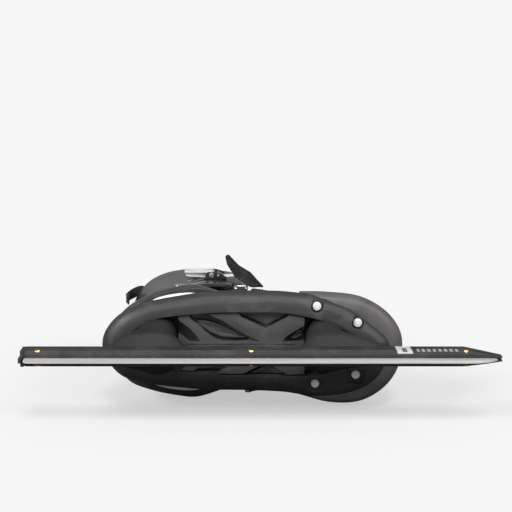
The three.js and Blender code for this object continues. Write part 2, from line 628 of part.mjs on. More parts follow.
// ---- Straps on the boot ----
// The strap's line over the instep: distance along the tilted plane, and distance from the blade plane.
function instepLine() {
  const angle = THREE.MathUtils.degToRad(STRAP.tilt);
  const [ux, uy] = [Math.cos(angle), Math.sin(angle)];
  const skin = (u, side) => {
    let widest = -Infinity;
    for (const off of [-STRAP.half, 0, STRAP.half]) {
      const x = STRAP.at[0] + u * ux - off * uy;
      const y = STRAP.at[1] + u * uy + off * ux;
      widest = Math.max(widest, side * skinZ(BOOT_LEVELS, y, x, side, -STRAP.standoff));
    }
    return side * widest;
  };
  const outer = [];
  const inner = [];
  for (let u = STRAP.from; u <= 28; u += 6) {
    inner.push([u, skin(u, -1)]);
    if (u >= 0) outer.unshift([u, skin(u, 1)]);
  }
  return [...inner, [36, -19], [39.5, -5], [36, 11], ...outer];
}

function buildStraps() {
  const { at, half, thickness, tilt } = STRAP;
  const turn = THREE.MathUtils.degToRad(tilt);
  const lay = (geometry) => geometry.rotateZ(turn).translate(at[0], at[1], 0);
  const laid = band(instepLine(), thickness, -half, half, 30, lay);
  const fitted = laid.subtract(bootLoft(-FIT, 72.6, 200));
  add("power_strap", largest(fitted.subtract(bar(1.9, 20, "z", strapRivet()))), FABRIC);
  const rivet = strapRivet();
  const shank = bar(1.5, 10.6, "z", [rivet[0], rivet[1], rivet[2]], 14);
  const head = bar(3.2, 0.9, "z", [rivet[0], rivet[1], rivet[2] - 5], 20);
  const upset = bar(3, 0.8, "z", [rivet[0], rivet[1], rivet[2] + 5.1], 18);
  add("strap_rivet", shank.add(head).add(upset), SILVER);
  const [hingeX, hingeZ] = TAB.hinge;
  const outline = [[hingeX + 5, hingeZ], [-4.9, 51.5], [-15.5, 58], [-24.5, 67.8], [-27.5, 66.3],
    [-26, 59], [-18.8, 47], [-12, hingeZ + 4.4], [-5, hingeZ]];
  add("strap_tab", plateXZ(outline, TAB.y - TAB.thickness / 2, TAB.y + TAB.thickness / 2), FABRIC);
}

function strapRivet() {
  const [x, y] = [STRAP.at[0] - 6, STRAP.at[1] - 4.5];
  return [x, y, skinZ(BOOT_LEVELS, y, x, -1)];
}

// ---- Silver ring and the webbing that holds it ----
function buildRing() {
  const { x, halfLength, low, high, z, bar: thick } = RING;
  let loop = bar(thick, 2 * halfLength, "x", [x, low, z], 14);
  loop = loop.add(bar(thick, 2 * halfLength, "x", [x, high, z], 14));
  for (const side of [-1, 1]) {
    const at = [x + side * (halfLength - thick), (low + high) / 2, z];
    loop = loop.add(bar(thick, high - low + 2 * thick, "y", at, 14));
  }
  add("strap_ring", loop, SILVER);
  const skin = skinZ(BOOT_LEVELS, 92, x, 1) + 0.8;
  const keeper = box([x - 4, 87, z - 2.6], [x + 4, low + 2.8, z + 2.6]).add(
    box([x - 4, 100.2, skin - 4], [x + 4, low + 2.8, z]));
  const trimmed = keeper.subtract(bar(thick + FIT, 40, "x", [x, low, z], 16));
  add("ring_keeper", largest(trimmed.subtract(bootLoft(-FIT, 72.6, 200))), FABRIC);
}

// ---- Loop behind the ankle for pulling the boot on ----
function buildPullLoop() {
  const { z, width, thickness } = PULL_LOOP;
  const line = [[-121.6, 186], [-122.5, 193], [-125, 203], [-122, 211], [-114, 212], [-109, 206]];
  const stand = (geometry) => geometry.rotateX(-Math.PI / 2).translate(0, 0, z);
  add("pull_loop", band(line, thickness, -width / 2, width / 2, 16, stand), FABRIC);
}

// ---- Assembly ----
buildBlade();
buildCup("heel_cup", HEEL_CUP.bolt, [
  [27.35, -126, -54, 6.6],
  [31, -125, -57, 11],
  [35, -121, -61, 16],
  [41, -110, -66, 19.5],
  [48, -103, -67.5, 24],
  [65.6, -102, -68, 25.5],
]);
buildCup("toe_cup", TOE_CUP.bolt, [
  [27.35, 34, 116, 6.6],
  [31, 36, 112, 11],
  [35, 39, 98, 15.5],
  [41, 41, 82, 18.5],
  [48, 42, 76, 22.5],
  [65.6, 42, 75.5, 23.5],
]);
buildChassis(rimSkin());
buildLattice();
buildBoot();
buildToeCap();
buildCounter();
buildCuff();
buildBuckle();
buildLadder();
buildStraps();
buildRing();
buildPullLoop();

export default skate;
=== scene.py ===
"""Finished look of a right speed skate that lies on its inner side.

Sizes are in millimetres in the blade frame: X from heel to toe, Y from the running edge into the boot, Z to
the outer side of the foot, with the blade's mid-plane at Z = 0. Meshes are moved into the row frame, in
metres, as they are made.
"""

import logging
import math
from dataclasses import dataclass, field
from enum import Enum
from typing import Callable, Iterable, Sequence

import bmesh
import bpy
import numpy as np
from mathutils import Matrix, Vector


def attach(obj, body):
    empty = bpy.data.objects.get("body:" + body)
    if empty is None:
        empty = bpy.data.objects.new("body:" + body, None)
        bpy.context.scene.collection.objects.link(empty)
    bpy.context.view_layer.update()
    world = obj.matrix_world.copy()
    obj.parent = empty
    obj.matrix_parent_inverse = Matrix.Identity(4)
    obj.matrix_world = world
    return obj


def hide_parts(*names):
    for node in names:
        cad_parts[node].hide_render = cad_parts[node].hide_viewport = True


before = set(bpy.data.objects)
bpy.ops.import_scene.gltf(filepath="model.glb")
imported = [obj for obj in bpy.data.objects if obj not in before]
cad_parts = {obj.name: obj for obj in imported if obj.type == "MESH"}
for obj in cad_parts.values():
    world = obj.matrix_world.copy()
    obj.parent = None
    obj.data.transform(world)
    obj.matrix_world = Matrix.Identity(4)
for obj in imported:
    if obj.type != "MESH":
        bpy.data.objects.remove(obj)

LOG = logging.getLogger("speed_skate")
ROW_SHIFT = np.array([-3.9, -107.0, 59.73])
METRE = 0.001
FIT = 0.35
FLOOR_Z = -59.73
WELD_GAP = 2e-5
SLIVER = 1e-5
FLAT_ANGLE = math.radians(1.2)

# Places that several pieces share.
CHASSIS_ENDS = (-133.5, 117.5)
RECESS_ENDS = (-114, 98)
TOE_CAP_ENDS = (-131, 127.8)
COUNTER_ENDS = (-129, 116)
SHAFT_OUTER = 48
SHAFT_INNER = 46
CUP_BOLTS = {"heel_cup": -84, "toe_cup": 59}
BOLT_ROOM = 3.35
RIVET_ROOM = 1.9
BUCKLE = (-33, 158)
LADDER_RIVET_X = -34

Point = Sequence[float]
Ring = np.ndarray
Level = tuple[float, ...]
Number = float | np.ndarray

# Half-widths of each outline at 13 even steps of angle from the heel end to the toe end.
SOLE_LATERAL = np.array([0, 13.5, 28, 38.5, 45.5, 48.3, 48.1, 47.3, 46.6, 42.8, 31.8, 16.8, 0])
SOLE_MEDIAL = np.array([0, 13.5, 28, 34.8, 39, 41.3, 41.5, 44.5, 52.6, 52.09, 41, 23.5, 0])
CHASSIS_LATERAL = np.array([0, 14.5, 28, 37.3, 43, 47.2, 48.2, 47.5, 43, 34, 19.5, 8.5, 0])
CHASSIS_MEDIAL = np.array([0, 14.5, 28.5, 34.8, 38.6, 41, 41.4, 43, 47.5, 45, 36, 20, 0])
RECESS_LATERAL = np.array([0, 7.5, 17.5, 25, 28, 30, 30.5, 30, 26, 19, 10, 4.5, 0])
RECESS_MEDIAL = np.array([0, 6, 14, 20, 23, 25.5, 26.5, 27, 26, 22, 15, 7, 0])
OVAL = np.array([0, 0.34, 0.62, 0.82, 0.94, 0.99, 1, 0.98, 0.93, 0.83, 0.66, 0.38, 0])
SHAFT = np.array([0, 0.28, 0.53, 0.75, 0.9, 0.98, 1, 0.98, 0.93, 0.83, 0.66, 0.38, 0])

# Levels of the boot and the cuff: height, back, front, outer and inner share, oval share, shift, inset.
BOOT_LEVELS: list[Level] = [
    (73, -127, 119, 1, 1, 0, -4.5, 5),
    (84, -127, 121, 1, 1.02, 0, -6, 3.8),
    (92, -127, 119, 0.93, 1.06, 0.05, -6.5, 3),
    (100, -125, 108, 0.9, 1.09, 0.3, -7, 3),
    (108, -122, 88, 0.88, 1.08, 0.6, -7, 3),
    (116, -118, 62, 0.85, 1.05, 0.8, -7, 3),
    (126, -114, 38, 0.83, 1.02, 1, -6.5, 3),
    (138, -111, 20, 0.82, 0.98, 1, -6, 3),
    (152, -110, 9, 0.81, 0.96, 1, -5.5, 3),
    (172, -110, 4, 0.81, 0.95, 1, -5, 3),
    (200, -114, 2, 0.84, 0.98, 1, -5, 3),
]
CUFF_LEVELS: list[Level] = [
    (98, -121, 10, 0.93, 1.11, 1, -6.5, 0),
    (112, -120, 10, 0.93, 1.11, 1, -6.5, 0),
    (126, -118, 10, 0.92, 1.1, 1, -6, 0),
    (140, -116, 10, 0.9, 1.09, 1, -5.5, 0),
    (160, -115, 8, 0.88, 1.07, 1, -5, 0),
    (180, -116, 7, 0.87, 1.06, 1, -5, 0),
    (196, -118, 6, 0.88, 1.07, 1, -5, 0),
]
# Levels of the chassis: height, inset, shift.
CHASSIS_LEVELS: list[Level] = [
    (50, 17, 0),
    (51.5, 10, 0),
    (55, 4.5, 0),
    (60, 1.2, -0.6),
    (66, 0.2, -2.2),
    (74, 0, -4.2),
    (84, 0.6, -6.2),
]
PIVOT = (-68.0, 118.0)


class Cut(Enum):
    """Ways to join one closed body with another."""

    AWAY = "DIFFERENCE"
    KEEP = "INTERSECT"
    JOIN = "UNION"


# ---- Numbers along a table ----
def spline(a: Number, b: Number, c: Number, d: Number, t: float) -> Number:
    """Reads a smooth curve through four even steps, between the second and the third.

    Args:
        a: value at the first step.
        b: value at the second step.
        c: value at the third step.
        d: value at the fourth step.
        t: share of the way from b to c.

    Returns:
        The value there, a number or an array like the others.
    """
    return b + 0.5 * t * (c - a + t * (2 * a - 5 * b + 4 * c - d + t * (3 * (b - c) + d - a)))


def along(table: np.ndarray, step: float) -> float:
    """Reads a table of 13 half-widths between its steps, smoothly.

    Args:
        table: half-widths at even steps of angle.
        step: place in the table, from 0 to 12.

    Returns:
        The half-width there.
    """
    last = len(table) - 1

    def value(k: int) -> float:
        """Reads a step, mirrored with a change of sign past either end."""
        if k < 0:
            return -table[-k]
        return -table[2 * last - k] if k > last else table[k]

    i = min(int(step), last - 1)
    return spline(value(i - 1), value(i), value(i + 1), value(i + 2), step - i)


def ring(y: float, back: float, front: float, lateral: np.ndarray, medial: np.ndarray, inset: float = 0,
         shift: float = 0, steps: int = 72) -> Ring:
    """Makes one level ring of a foot-shaped outline.

    Args:
        y: height of the ring.
        back: heel end.
        front: toe end.
        lateral: half-widths on the outer side.
        medial: half-widths on the inner side.
        inset: distance that the ring draws in.
        shift: sideways move of the whole ring.
        steps: points on each side.

    Returns:
        The points of the ring.
    """
    points = []
    reach = (front - back) / 2 - inset
    middle = (front + back) / 2
    for k in range(2 * steps):
        outer = k <= steps
        step = k if outer else 2 * steps - k
        angle = math.pi * step / steps
        width = along(lateral if outer else medial, 12 * step / steps) - inset * math.sin(angle)
        points.append((middle - reach * math.cos(angle), y, shift + (width if outer else -width)))
    return np.array(points)


def refined(levels: Sequence[Level], per: int = 4) -> list[Level]:
    """Adds smooth levels between the given ones, so that a loft through them is round.

    Args:
        levels: rows of numbers, the height first.
        per: levels for each gap.

    Returns:
        The longer list of levels.
    """
    rows = np.array(levels, float)
    first, last = 2 * rows[0] - rows[1], 2 * rows[-1] - rows[-2]
    padded_rows = np.vstack([first, rows, last])
    out: list[Level] = []
    for i in range(1, len(rows)):
        a, b, c, d = padded_rows[i - 1:i + 3]
        for k in range(per):
            t = k / per
            level = spline(a, b, c, d, t)
            level[0] = b[0] + (c[0] - b[0]) * t
            out.append(tuple(level))
    out.append(tuple(rows[-1]))
    return out


def boot_ring(level: Level, extra: float = 0, steps: int = 72) -> Ring:
    """Makes a ring of the boot or cuff skin, drawn in by extra."""
    y, back, front, outer, inner, oval, shift, inset = level
    lateral = SOLE_LATERAL * outer * (1 - oval) + SHAFT * SHAFT_OUTER * outer * oval
    medial = SOLE_MEDIAL * inner * (1 - oval) + SHAFT * SHAFT_INNER * inner * oval
    return ring(y, back, front, lateral, medial, inset + extra, shift, steps)


def level_at(levels: Sequence[Level], y: float) -> Level:
    """Reads a list of levels at any height inside it."""
    rows = np.array(levels, float)
    return (y, *(float(np.interp(y, rows[:, 0], rows[:, k])) for k in range(1, rows.shape[1])))


def skin_point(levels: Sequence[Level], y: float, x: float, side: int, out: float = 0) -> np.ndarray:
    """Finds the point of a skin at a height and a place along the foot.

    Args:
        levels: levels of the skin.
        y: height.
        x: place along the foot.
        side: 1 on the outer side, -1 on the inner side.
        out: distance that the point stands off the skin.

    Returns:
        The point.
    """
    level = level_at(levels, y)
    points = boot_ring(level, -out)
    half = points[side * (points[:, 2] - level[6]) >= -1e-6]
    half = half[np.argsort(half[:, 0])]
    return np.array([x, y, float(np.interp(x, half[:, 0], half[:, 2]))])


# ---- Meshes ----
def row(points: Iterable[Point]) -> np.ndarray:
    """Moves points from the blade frame in millimetres to the row frame in metres."""
    return (np.asarray(list(points), float) + ROW_SHIFT) * METRE


def link(name: str, mesh: bpy.types.Mesh) -> bpy.types.Object:
    """Puts a mesh in the scene under a name."""
    obj = bpy.data.objects.new(name, mesh)
    bpy.context.scene.collection.objects.link(obj)
    return obj


def outward(obj: bpy.types.Object, gap: float = 1e-6) -> bpy.types.Object:
    """Merges doubled points and turns every face outwards."""
    work = bmesh.new()
    work.from_mesh(obj.data)
    bmesh.ops.remove_doubles(work, verts=work.verts, dist=gap)
    bmesh.ops.recalc_face_normals(work, faces=work.faces)
    work.to_mesh(obj.data)
    work.free()
    return obj


def make(name: str, points: Iterable[Point], faces: Sequence[Sequence[int]]) -> bpy.types.Object:
    """Makes an object from points in the blade frame and faces."""
    mesh = bpy.data.meshes.new(name)
    mesh.from_pydata(row(points).tolist(), [], [list(f) for f in faces])
    mesh.update()
    return outward(link(name, mesh))


def loft(name: str, rings: Sequence[Ring]) -> bpy.types.Object:
    """Makes a closed skin through rings of equal point counts."""
    count = len(rings[0])
    faces: list[Sequence[int]] = []
    for r in range(len(rings) - 1):
        for i in range(count):
            j = (i + 1) % count
            faces.append((r * count + i, r * count + j, (r + 1) * count + j, (r + 1) * count + i))
    faces.append(tuple(range(count)))
    faces.append(tuple(range((len(rings) - 1) * count, len(rings) * count)))
    return make(name, np.vstack(rings), faces)


def slab(name: str, outline: Sequence[Point], low: float, high: float, axis: str = "y") -> bpy.types.Object:
    """Raises a flat outline between two levels.

    Args:
        name: name of the body.
        outline: pairs of X and Z for axis y, or of X and Y for axis z.
        low: first level.
        high: second level.
        axis: direction of the rise.

    Returns:
        The closed body.
    """
    def place(a: float, b: float, h: float) -> Point:
        """Puts a pair of the outline at a level."""
        return (a, h, b) if axis == "y" else (a, b, h)

    rings = [np.array([place(a, b, h) for a, b in outline]) for h in (low, high)]
    return loft(name, rings)


def block(name: str, low: Point, high: Point) -> bpy.types.Object:
    """Makes a box between two corners."""
    (x0, y0, z0), (x1, y1, z1) = low, high
    return slab(name, [(x0, z0), (x1, z0), (x1, z1), (x0, z1)], y0, y1)


def rod(name: str, radius: float, axis: str, at: Point, half: float, sides: int = 48) -> bpy.types.Object:
    """Makes a round bar along one axis, centred on a point."""
    rings = []
    for end in (-half, half):
        points = []
        for k in range(sides):
            a, b = radius * math.cos(2 * math.pi * k / sides), radius * math.sin(2 * math.pi * k / sides)
            offset = {"x": (end, a, b), "y": (a, end, b), "z": (a, b, end)}[axis]
            points.append(np.array(at) + offset)
        rings.append(np.array(points))
    return loft(name, rings)


def settle(obj: bpy.types.Object) -> bpy.types.Object:
    """Applies every modifier of an object to its mesh."""
    graph = bpy.context.evaluated_depsgraph_get()
    mesh = bpy.data.meshes.new_from_object(obj.evaluated_get(graph))
    old = obj.data
    obj.modifiers.clear()
    obj.data = mesh
    bpy.data.meshes.remove(old)
    return obj


def discard(*objects: bpy.types.Object) -> None:
    """Deletes working bodies."""
    for obj in objects:
        mesh = obj.data
        bpy.data.objects.remove(obj)
        bpy.data.meshes.remove(mesh)


def carve(obj: bpy.types.Object, tools: Sequence[bpy.types.Object], how: Cut = Cut.AWAY) -> bpy.types.Object:
    """Cuts, keeps or joins bodies, and deletes the tools.

    Args:
        obj: the body that is worked on.
        tools: closed bodies.
        how: what each tool does.

    Returns:
        The same object, with its new mesh.
    """
    for tool in tools:
        step = obj.modifiers.new("carve", "BOOLEAN")
        step.solver = "MANIFOLD"
        step.operation = how.value
        step.object = tool
    settle(obj)
    discard(*tools)
    return obj


def soften(obj: bpy.types.Object, width: float = 0.4, segments: int = 2, angle: float = 32,
           crease: float = 40) -> bpy.types.Object:
    """Rounds the hard edges of a body and shades it smoothly.

    Args:
        obj: the body.
        width: width of the rounding, in millimetres.
        segments: faces across the rounding.
        angle: least angle of an edge that is rounded, in degrees.
        crease: angle past which shading stays hard.

    Returns:
        The same object.
    """
    work = bmesh.new()
    work.from_mesh(obj.data)
    bmesh.ops.remove_doubles(work, verts=work.verts, dist=WELD_GAP)
    bmesh.ops.dissolve_degenerate(work, edges=work.edges, dist=SLIVER)
    bmesh.ops.dissolve_limit(work, angle_limit=FLAT_ANGLE, verts=work.verts, edges=work.edges)
    work.to_mesh(obj.data)
    work.free()
    if width > 0:
        step = obj.modifiers.new("soften", "BEVEL")
        step.width = width * METRE
        step.segments = segments
        step.limit_method = "ANGLE"
        step.angle_limit = math.radians(angle)
        step.harden_normals = False
        step.use_clamp_overlap = True
        settle(obj)
    return shade(obj, crease)


def shade(obj: bpy.types.Object, crease: float = 40) -> bpy.types.Object:
    """Shades a body smoothly, with hard shading past an angle."""
    obj.data.shade_smooth()
    obj.data.set_sharp_from_angle(angle=math.radians(crease))
    return obj


def refine(node: str, name: str, width: float = 0.2, segments: int = 2) -> bpy.types.Object:
    """Copies a CAD node, merges it, rounds its edges and lets the copy stand for it."""
    source = bpy.data.objects.get(node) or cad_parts[node]
    mesh = source.data.copy()
    mesh.materials.clear()
    obj = outward(link(name, mesh), 5e-6)
    soften(obj, width, segments)
    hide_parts(node)
    return obj


def smooth_path(points: Sequence[Point], count: int, closed: bool = False) -> np.ndarray:
    """Runs a smooth line through points and divides it evenly.

    Args:
        points: points that the line passes.
        count: number of points to return.
        closed: whether the line joins its own start.

    Returns:
        Evenly spaced points.
    """
    p = np.array(points, float)
    if closed:
        ext = np.vstack([p[-1], p, p[0], p[1]])
    else:
        ext = np.vstack([2 * p[0] - p[1], p, 2 * p[-1] - p[-2]])
    fine = []
    for i in range(1, len(ext) - 2):
        a, b, c, d = ext[i - 1:i + 3]
        for t in np.linspace(0, 1, 24, endpoint=False):
            fine.append(spline(a, b, c, d, t))
    fine.append(ext[-2])
    line = np.array(fine)
    reach = np.concatenate([[0], np.cumsum(np.linalg.norm(np.diff(line, axis=0), axis=1))])
    wanted = np.linspace(0, reach[-1], count, endpoint=not closed)
    return np.stack([np.interp(wanted, reach, line[:, k]) for k in range(3)], axis=1)


def sweep(name: str, path: np.ndarray, section: Sequence[Point], up: Point, closed: bool = False,
          taper: Callable[[float], float] | None = None) -> bpy.types.Object:
    """Carries a closed section along a path, with a UV map in metres along and round it.

    Args:
        name: name of the piece.
        path: points of the middle line.
        section: pairs of distance along the normal and along up.
        up: direction that the section's second number follows.
        closed: whether the path joins its own start.
        taper: scale of the section's second number at a share of the length.

    Returns:
        The closed piece.
    """
    up_v = np.array(up, float) / np.linalg.norm(up)
    count, turns = len(path), len(section)
    rings = []
    for i, at in enumerate(path):
        ahead = path[(i + 1) % count] if closed or i + 1 < count else path[i]
        behind = path[i - 1] if closed or i > 0 else path[i]
        way = (ahead - behind) / np.linalg.norm(ahead - behind)
        side = np.cross(way, up_v)
        side /= np.linalg.norm(side)
        lift = np.cross(side, way)
        scale = taper(i / (count - 1)) if taper else 1.0
        rings.append([at + side * a + lift * b * scale for a, b in section])
    faces: list[Sequence[int]] = []
    uvs: list[list[tuple[float, float]]] = []
    reach = np.concatenate([[0], np.cumsum(np.linalg.norm(np.diff(path, axis=0), axis=1))]) * METRE
    edge = np.array([*section, section[0]], float)
    round_it = np.concatenate([[0], np.cumsum(np.linalg.norm(np.diff(edge, axis=0), axis=1))]) * METRE
    spans = count if closed else count - 1
    closing = np.linalg.norm(path[0] - path[-1]) * METRE
    for r in range(spans):
        s = (r + 1) % count
        far = reach[s] if s else reach[-1] + closing
        for i in range(turns):
            j = (i + 1) % turns
            faces.append((r * turns + i, r * turns + j, s * turns + j, s * turns + i))
            uvs.append([(reach[r], round_it[i]), (reach[r], round_it[i + 1]), (far, round_it[i + 1]),
                        (far, round_it[i])])
    if not closed:
        for start in (0, (count - 1) * turns):
            faces.append(tuple(range(start, start + turns)))
            uvs.append([(a * METRE, b * METRE) for a, b in section])
    mesh = bpy.data.meshes.new(name)
    mesh.from_pydata(row([p for one in rings for p in one]).tolist(), [], [list(f) for f in faces])
    layer = mesh.uv_layers.new(name="weave")
    flat = [uv for face in uvs for uv in face]
    layer.data.foreach_set("uv", np.array(flat, np.float32).ravel())
    mesh.update()
    obj = link(name, mesh)
    work = bmesh.new()
    work.from_mesh(mesh)
    bmesh.ops.recalc_face_normals(work, faces=work.faces)
    work.to_mesh(mesh)
    work.free()
    return shade(obj, 50)


def flat_section(thick: float, wide: float, corner: float, per: int = 3) -> list[tuple[float, float]]:
    """Makes a rounded rectangle, thick along the normal and wide along up."""
    points = []
    a, b = thick / 2 - corner, wide / 2 - corner
    for cx, cy, start in ((a, b, 0), (-a, b, 90), (-a, -b, 180), (a, -b, 270)):
        for k in range(per + 1):
            angle = math.radians(start + 90 * k / per)
            points.append((cx + corner * math.cos(angle), cy + corner * math.sin(angle)))
    return points


def wedge(name: str, start: float, end: float, reach: float = 260) -> bpy.types.Object:
    """Makes a wedge of space round the cuff pivot, between two angles from the toe direction."""
    points = [PIVOT]
    for degrees in np.linspace(start, end, 25):
        angle = math.radians(degrees)
        points.append((PIVOT[0] + reach * math.cos(angle), PIVOT[1] + reach * math.sin(angle)))
    return slab(name, points, -90, 90, "z")


def inflate(obj: bpy.types.Object, voxel: float, pressure: float, cap: float) -> bpy.types.Object:
    """Swells a pad with cloth simulation, then applies the result.

    Args:
        obj: closed body of the pad.
        voxel: remesh size in millimetres.
        pressure: pressure inside the cloth.
        cap: furthest that a point may move, in millimetres.

    Returns:
        The same object.
    """
    step = obj.modifiers.new("remesh", "REMESH")
    step.mode = "VOXEL"
    step.voxel_size = voxel * METRE
    settle(obj)
    rest = np.array([v.co for v in obj.data.vertices])
    cloth = obj.modifiers.new("cloth", "CLOTH")
    cloth.settings.use_pressure = True
    cloth.settings.uniform_pressure_force = pressure
    cloth.settings.effector_weights.gravity = 0
    cloth.settings.quality = 5
    cloth.collision_settings.use_collision = False
    scene = bpy.context.scene
    for number in range(1, 21):
        scene.frame_set(number)
    settle(obj)
    scene.frame_set(1)
    moved = np.array([v.co for v in obj.data.vertices]) - rest
    length = np.linalg.norm(moved, axis=1, keepdims=True)
    limit = cap * METRE
    held = moved * np.minimum(1, limit / np.maximum(length, 1e-9))
    obj.data.vertices.foreach_set("co", (rest + held).astype(np.float32).ravel())
    obj.data.update()
    relax = obj.modifiers.new("relax", "SMOOTH")
    relax.factor = 0.5
    relax.iterations = 3
    finer = obj.modifiers.new("finer", "SUBSURF")
    finer.levels = 1
    finer.render_levels = 1
    settle(obj)
    obj.data.shade_smooth()
    return obj


# ---- Shared effects of the finishes ----
class Graph:
    """Short hand for the nodes and links of one tree."""

    def __init__(self, tree: bpy.types.NodeTree) -> None:
        """Keeps the tree and empties it."""
        self.tree = tree
        tree.nodes.clear()

    def add(self, kind: str, inputs: dict[int | str, object] | None = None,
            **settings: object) -> bpy.types.Node:
        """Adds a node.

        Args:
            kind: Blender's name of the node type.
            inputs: values or source sockets, by socket name or number.
            settings: properties of the node.

        Returns:
            The node.
        """
        node = self.tree.nodes.new(kind)
        for key, value in settings.items():
            setattr(node, key, value)
        for key, value in (inputs or {}).items():
            socket = node.inputs[key]
            if isinstance(value, bpy.types.NodeSocket):
                self.tree.links.new(value, socket)
            else:
                socket.default_value = value
        return node

    def math(self, operation: str, *values: object, clamp: bool = False) -> bpy.types.NodeSocket:
        """Adds a Math node and returns its result."""
        node = self.add("ShaderNodeMath", dict(enumerate(values)), operation=operation, use_clamp=clamp)
        return node.outputs[0]

    def mix(self, share: object, a: object, b: object) -> bpy.types.NodeSocket:
        """Mixes two colours by a share and returns the result."""
        node = self.add("ShaderNodeMix", {0: share, 6: a, 7: b}, data_type="RGBA")
        return node.outputs[2]

    def ramp(self, source: bpy.types.NodeSocket, low: float, high: float) -> bpy.types.NodeSocket:
        """Stretches a value so that low becomes 0 and high becomes 1."""
        node = self.add("ShaderNodeMapRange", {"Value": source, "From Min": low, "From Max": high})
        return node.outputs[0]


def effect(name: str, inputs: dict[str, float],
           outputs: Sequence[str]) -> tuple[Graph, bpy.types.Node, bpy.types.Node]:
    """Starts a shader node group with named number inputs and outputs."""
    tree = bpy.data.node_groups.new(name, "ShaderNodeTree")
    for key, value in inputs.items():
        socket = tree.interface.new_socket(key, in_out="INPUT", socket_type="NodeSocketFloat")
        socket.default_value = value
    for key in outputs:
        tree.interface.new_socket(key, in_out="OUTPUT", socket_type="NodeSocketFloat")
    graph = Graph(tree)
    return graph, graph.add("NodeGroupInput"), graph.add("NodeGroupOutput")


class Effect(Enum):
    """Node groups that several finishes share."""

    GRAIN = "moulded_grain"
    WEAR = "edge_wear"
    WEAVE = "plain_weave"
    LEATHER = "coated_grain"
    DUST = "rubbed_dust"
    BRUSH = "brushed_lines"

    def tree(self) -> bpy.types.NodeTree:
        """Returns the group, made at its first use."""
        found = bpy.data.node_groups.get(self.value)
        return found or {
            Effect.GRAIN: build_grain,
            Effect.WEAR: build_wear,
            Effect.WEAVE: build_weave,
            Effect.LEATHER: build_leather,
            Effect.DUST: build_dust,
            Effect.BRUSH: build_brush,
        }[self]()


def build_grain() -> bpy.types.NodeTree:
    """Fine spark-eroded grain with slow flow marks, as on moulded plastic."""
    graph, inside, out = effect(Effect.GRAIN.value, {"Scale": 1800}, ["Height", "Mottle"])
    place = graph.add("ShaderNodeTexCoord").outputs["Object"]
    fine = graph.add("ShaderNodeTexNoise", {"Vector": place, "Scale": inside.outputs[0], "Detail": 3})
    slow = graph.add("ShaderNodeTexNoise", {"Vector": place, "Scale": 28, "Detail": 4, "Distortion": 0.6})
    graph.tree.links.new(fine.outputs[0], out.inputs[0])
    graph.tree.links.new(graph.ramp(slow.outputs[0], 0.3, 0.7), out.inputs[1])
    return graph.tree


def build_wear() -> bpy.types.NodeTree:
    """Broken rubbing along the hard edges."""
    graph, inside, out = effect(Effect.WEAR.value, {"Radius": 0.0006, "Reach": 1}, ["Mask"])
    place = graph.add("ShaderNodeTexCoord").outputs["Object"]
    round_normal = graph.add("ShaderNodeBevel", {"Radius": inside.outputs[0]}, samples=4).outputs[0]
    normal = graph.add("ShaderNodeNewGeometry").outputs["Normal"]
    turn = graph.add("ShaderNodeVectorMath", {0: round_normal, 1: normal}, operation="DOT_PRODUCT")
    edge = graph.ramp(graph.math("SUBTRACT", 1.0, turn.outputs["Value"]), 0.01, 0.12)
    patchy = graph.add("ShaderNodeTexNoise", {"Vector": place, "Scale": 190, "Detail": 5})
    broken = graph.ramp(patchy.outputs[0], 0.42, 0.62)
    worn = graph.math("MULTIPLY", graph.math("MULTIPLY", edge, broken), inside.outputs[1], clamp=True)
    graph.tree.links.new(worn, out.inputs[0])
    return graph.tree


def build_weave() -> bpy.types.NodeTree:
    """Plain weave on the UV map, which is in metres."""
    graph, inside, out = effect(Effect.WEAVE.value, {"Pitch": 0.0009}, ["Height", "Thread"])
    uv = graph.add("ShaderNodeUVMap", uv_map="weave").outputs[0]
    apart = graph.add("ShaderNodeSeparateXYZ", {0: uv})
    waves = []
    for k in (0, 1):
        turn = graph.math("MULTIPLY", graph.math("DIVIDE", apart.outputs[k], inside.outputs[0]), math.pi)
        waves.append(graph.math("SINE", turn))
    over = graph.math("MULTIPLY", waves[0], waves[1])
    warp = graph.math("ABSOLUTE", waves[0])
    weft = graph.math("ABSOLUTE", waves[1])
    pick = graph.ramp(over, -0.15, 0.15)
    low = graph.math("MULTIPLY", warp, pick)
    high = graph.math("MULTIPLY", weft, graph.math("SUBTRACT", 1.0, pick))
    graph.tree.links.new(graph.math("ADD", low, high), out.inputs[0])
    fibre = graph.add("ShaderNodeTexNoise", {"Vector": uv, "Scale": 2600, "Detail": 2})
    graph.tree.links.new(fibre.outputs[0], out.inputs[1])
    return graph.tree


def build_leather() -> bpy.types.NodeTree:
    """Pebbled grain with fine creases, as on coated leather and on brushed lining."""
    graph, inside, out = effect(Effect.LEATHER.value, {"Scale": 900}, ["Height", "Crease"])
    place = graph.add("ShaderNodeTexCoord").outputs["Object"]
    cells = graph.add("ShaderNodeTexVoronoi", {"Vector": place, "Scale": inside.outputs[0]},
                      feature="DISTANCE_TO_EDGE")
    crease = graph.add("ShaderNodeTexNoise", {"Vector": place, "Scale": 95, "Detail": 6, "Distortion": 1.4})
    graph.tree.links.new(graph.ramp(cells.outputs[0], 0.0, 0.35), out.inputs[0])
    graph.tree.links.new(graph.ramp(crease.outputs[0], 0.35, 0.65), out.inputs[1])
    return graph.tree


